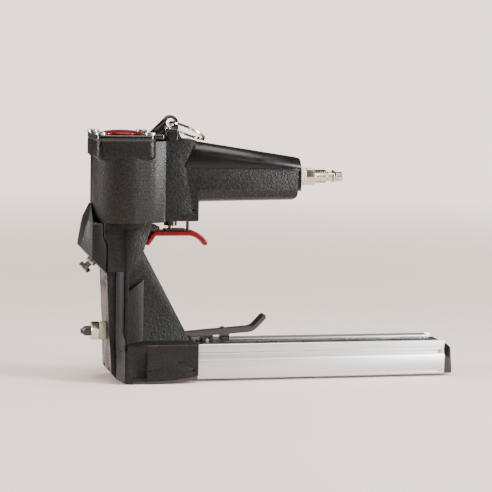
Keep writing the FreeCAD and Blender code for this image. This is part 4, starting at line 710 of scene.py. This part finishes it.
class STAPLER_OT_castings(Operator):
    """Finishes the cylinder and handle casting, the nose and its layers"""
    bl_idname = "stapler.castings"
    bl_label = "Castings"

    def execute(self, context):
        sizes = context.scene.stapler_sizes
        edge_rounded("body_casting", sizes.cast_edge, "powder")
        edge_rounded("nose_casting", sizes.cast_edge, "powder")
        edge_rounded("front_plate", sizes.cast_edge, "powder")
        edge_rounded("front_guard", sizes.sheet_edge, "powder")
        edge_rounded("guide_plate", sizes.machined_edge, "oxide")
        edge_rounded("sole_plate", sizes.sheet_edge, "oxide")
        return {"FINISHED"}


class STAPLER_OT_head(Operator):
    """Finishes the cap, its gasket, screws and the exhaust disc"""
    bl_idname = "stapler.head"
    bl_label = "Cylinder head"

    def execute(self, context):
        sizes = context.scene.stapler_sizes
        edge_rounded("cylinder_cap", sizes.sheet_edge, "gloss")
        paint_node("cap_gasket", "rubber")
        cap_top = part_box("cylinder_cap")[1][2]
        boxes = islands("cap_screws")
        head_r = (boxes[0][1].x - boxes[0][0].x) / 2 / MM
        head_h = (boxes[0][1].z - cap_top) / MM
        length_mm = (cap_top - boxes[0][0].z) / MM
        places = [((low.x + high.x) / 2, (low.y + high.y) / 2, cap_top) for low, high in boxes]
        screw = socket_screw("cap_screw", head_r, head_h, 3.0, length_mm, 4.0, 1.7)
        set_fasteners("cap_screws", screw, places, (0, 0, 1), "zinc")
        low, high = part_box("exhaust_disc")
        rim = (high[0] - low[0]) / 2 / MM
        rise = (high[2] - cap_top) / MM
        profile = [(3.8, (low[2] - cap_top) / MM), (4.0, 0.0), (rim - 0.5, 0.05), (rim, 0.35),
                   (rim, 0.7)]
        steps = 14
        for i in range(1, steps):
            share = i / steps
            r = rim * math.cos(share * math.pi / 2)
            profile.append((max(r, 0.3), 0.7 + (rise - 0.7) * math.sin(share * math.pi / 2) ** 0.9))
        disc = place_object("exhaust_disc_finished",
                            turned_mesh("exhaust_disc", profile, 72), MATERIALS["red"])
        disc.data.transform(Matrix.Translation((0, 0, cap_top)))
        stand_for(disc, "exhaust_disc")
        return {"FINISHED"}


class STAPLER_OT_handle(Operator):
    """Finishes the grip, end collar, bushing, washers and air plug"""
    bl_idname = "stapler.handle"
    bl_label = "Handle and air inlet"

    def execute(self, context):
        sizes = context.scene.stapler_sizes
        edge_rounded("handle_grip", sizes.cast_edge, "grip")
        edge_rounded("handle_end_collar", sizes.sheet_edge, "gloss")
        edge_rounded("air_bushing", sizes.machined_edge, "brass")
        edge_rounded("plug_seal", sizes.machined_edge, "seal")
        edge_rounded("air_plug", sizes.machined_edge, "nickel")
        return {"FINISHED"}


class STAPLER_OT_trigger(Operator):
    """Finishes the trigger, its plate and pins, and the trigger valve"""
    bl_idname = "stapler.trigger"
    bl_label = "Trigger"

    def execute(self, context):
        sizes = context.scene.stapler_sizes
        edge_rounded("trigger", sizes.sheet_edge, "red")
        edge_rounded("trigger_wear_plate", sizes.machined_edge, "oxide")
        for node in ("trigger_pivot_pin", "trigger_guide_pin", "block_roll_pin"):
            paint_node(node, "oxide")
        paint_node("valve_stem", "brass")
        paint_node("valve_body", "gloss")
        paint_node("valve_seals", "rubber")
        return {"FINISHED"}


class STAPLER_OT_hanger(Operator):
    """Makes the hang bracket, its screws and the wound ring"""
    bl_idname = "stapler.hanger"
    bl_label = "Hanger"

    def execute(self, context):
        sizes = context.scene.stapler_sizes
        edge_rounded("hang_bracket", sizes.sheet_edge, "gloss")
        paint_node("bracket_screws", "zinc")
        make_ring(sizes)
        return {"FINISHED"}


RING_BAND_MM = 3.2       # height of both turns together
RING_WIRE_MM = 1.5
RING_PLAY_MM = 0.12      # gap between the turns
RING_SLOPE = math.radians(25.0)
RING_ROLL = math.radians(-10.0)
RING_R_MM = 16.2


def make_ring(sizes):
    """Split ring: flat wire wound nearly twice, lying as the plain band does."""
    turn_height = RING_BAND_MM / 2
    obj = generate("hang_ring_wound", TREES["coil"], {
        "Radius": RING_R_MM * MM, "Turns": sizes.ring_turns,
        "Length": turn_height * MM, "Steps": 72, "Wire width": RING_WIRE_MM * MM,
        "Wire height": (turn_height - RING_PLAY_MM) * MM, "Corner": 0.35 * MM,
        "Finish": MATERIALS["nickel"]})
    joint = next(j for j in frame["record"]["behaviour"]["joints"] if j["name"] == "ring_swing")
    eye = Vector(joint["pos_m"])
    turn = Matrix.Rotation(RING_SLOPE, 4, "Y") @ Matrix.Rotation(RING_ROLL, 4, "X")
    centre = eye + turn.to_3x3() @ Vector((RING_R_MM * MM, 0, 0))
    obj.data.transform(Matrix.Translation(centre) @ turn
                       @ Matrix.Translation((0, 0, -turn_height / 2 * MM)))
    smooth(obj.data, 40)
    stand_for(obj, "hang_ring")


class STAPLER_OT_guard(Operator):
    """Finishes the guard's bolt and nut"""
    bl_idname = "stapler.guard"
    bl_label = "Guard bolt"

    def execute(self, context):
        sizes = context.scene.stapler_sizes
        edge_rounded("guard_bolt", sizes.machined_edge, "zinc")
        edge_rounded("guard_nut", sizes.machined_edge, "zinc")
        return {"FINISHED"}


class STAPLER_OT_nose(Operator):
    """Finishes the nose's screws, pins, clinchers and the adjuster"""
    bl_idname = "stapler.nose"
    bl_label = "Nose pieces"

    def execute(self, context):
        sizes = context.scene.stapler_sizes
        boxes = islands("front_plate_screws")
        r_mm = (boxes[0][1].y - boxes[0][0].y) / 2 / MM
        places = [(low.x + 2.0 * MM, (low.y + high.y) / 2, (low.z + high.z) / 2)
                  for low, high in boxes]
        screw = socket_screw("plate_screw", r_mm, 2.0, 2.0, 4.0, 2.5, 1.2, 0.4)
        set_fasteners("front_plate_screws", screw, places, (-1, 0, 0), "oxide")
        paint_node("arm_screws", "zinc")
        paint_node("shoe_pins", "oxide")
        paint_node("clincher_pins", "spring")
        edge_rounded("clincher_left", sizes.machined_edge, "spring")
        edge_rounded("clincher_right", sizes.machined_edge, "spring")
        edge_rounded("adjuster_collar", sizes.machined_edge, "nylon")
        edge_rounded("adjuster_nut", sizes.machined_edge, "nickel")
        edge_rounded("adjuster_rod", sizes.machined_edge, "oxide")
        return {"FINISHED"}


class STAPLER_OT_magazine(Operator):
    """Finishes the magazine, its rail, cover, rivets, end cap and staples"""
    bl_idname = "stapler.magazine"
    bl_label = "Magazine"

    def execute(self, context):
        sizes = context.scene.stapler_sizes
        edge_rounded("magazine_extrusion", sizes.machined_edge, "aluminium")
        edge_rounded("magazine_cover", sizes.machined_edge, "zinc")
        edge_rounded("magazine_end_cap", sizes.sheet_edge, "gloss")
        paint_node("magazine_rivets", "zinc")
        paint_node("magazine_core", "zinc")
        paint_node("pusher", "zinc")
        paint_node("pusher_spring_roll", "spring")
        make_staples(sizes)
        return {"FINISHED"}


STAPLE_WIRE = 1.0 * MM      # width of the wire, and the step from staple to staple


def staple_mesh(thick_mm):
    """One staple, crown along Y, legs down, standing on the row's first place."""
    low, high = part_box("staple_stick")
    y0, y1, z0, z1 = low[1], high[1], low[2], high[2]
    w = STAPLE_WIRE
    inside = [(y1 - w, z0), (y1 - w, z1 - w), (y0 + w, z1 - w), (y0 + w, z0)]
    outside = [(y0, z0), (y0, z1), (y1, z1), (y1, z0)]
    loop = outside + inside
    t = thick_mm * MM
    verts = [(x, y, z) for x in (0.0, t) for y, z in loop]
    faces = [(0, 1, 6, 7), (1, 2, 5, 6), (2, 3, 4, 5)]
    faces += [tuple(i + 8 for i in reversed(face)) for face in faces]
    faces += [(i, i + 8, (i + 1) % 8 + 8, (i + 1) % 8) for i in range(8)]
    mesh = bpy.data.meshes.new("staple")
    mesh.from_pydata(verts, [], faces)
    bm = bmesh.new()
    bm.from_mesh(mesh)
    bmesh.ops.recalc_face_normals(bm, faces=bm.faces)
    bm.to_mesh(mesh)
    bm.free()
    return mesh


def make_staples(sizes):
    low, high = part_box("staple_stick")
    count = int(round((high[0] - low[0]) / STAPLE_WIRE))
    pattern = place_object("staple", staple_mesh((STAPLE_WIRE - sizes.staple_gap) / MM))
    obj = generate("staples", TREES["row"], {
        "Piece": pattern, "Count": count, "Step": (STAPLE_WIRE, 0.0, 0.0),
        "Start": (low[0], 0.0, 0.0), "Finish": MATERIALS["zinc"]})
    bpy.data.objects.remove(pattern)
    stand_for(obj, "staple_stick")


class STAPLER_OT_latch(Operator):
    """Finishes the latch lever, its roller and pins"""
    bl_idname = "stapler.latch"
    bl_label = "Latch"

    def execute(self, context):
        sizes = context.scene.stapler_sizes
        edge_rounded("latch_lever", sizes.sheet_edge, "gloss")
        paint_node("latch_roller", "oxide")
        paint_node("latch_roller_pin", "zinc")
        paint_node("latch_pivot_pin", "oxide")
        paint_node("latch_spring", "spring")
        return {"FINISHED"}


class STAPLER_OT_inside(Operator):
    """Paints what works inside the cylinder and the valve"""
    bl_idname = "stapler.inside"
    bl_label = "Inside"

    def execute(self, context):
        for node, material in (("cylinder_sleeve", "aluminium"), ("bumper", "rubber"),
                               ("piston", "aluminium"), ("piston_ring", "rubber"),
                               ("driver_blade", "spring"), ("head_valve", "aluminium"),
                               ("head_valve_spring", "spring"), ("valve_spring", "spring")):
            paint_node(node, material)
        return {"FINISHED"}


class STAPLER_PT_panel(Panel):
    """Lists the stapler's pieces"""
    bl_idname = "STAPLER_PT_panel"
    bl_label = "Stapler"
    bl_space_type = "VIEW_3D"
    bl_region_type = "UI"
    bl_category = "Stapler"

    def draw(self, context):
        for piece in PIECES:
            self.layout.operator(piece.bl_idname)


PIECES = (STAPLER_OT_stage, STAPLER_OT_castings, STAPLER_OT_head, STAPLER_OT_handle,
          STAPLER_OT_trigger, STAPLER_OT_hanger, STAPLER_OT_guard, STAPLER_OT_nose,
          STAPLER_OT_magazine, STAPLER_OT_latch, STAPLER_OT_inside)
CLASSES = (StaplerSizes, StaplerColours) + PIECES + (STAPLER_PT_panel,)


def register():
    for cls in CLASSES:
        bpy.utils.register_class(cls)
    bpy.types.Scene.stapler_sizes = PointerProperty(type=StaplerSizes)
    bpy.types.Scene.stapler_colours = PointerProperty(type=StaplerColours)


def unregister():
    del bpy.types.Scene.stapler_colours
    del bpy.types.Scene.stapler_sizes
    for cls in reversed(CLASSES):
        bpy.utils.unregister_class(cls)


def main():
    register()
    MATERIALS.update(make_materials(bpy.context.scene))
    TREES.update(coil=coil_tree(), fasteners=scatter_tree(), row=row_tree())
    for piece in PIECES:
        group, call = piece.bl_idname.split(".")
        getattr(getattr(bpy.ops, group), call)()


if __name__ == "__main__":
    main()
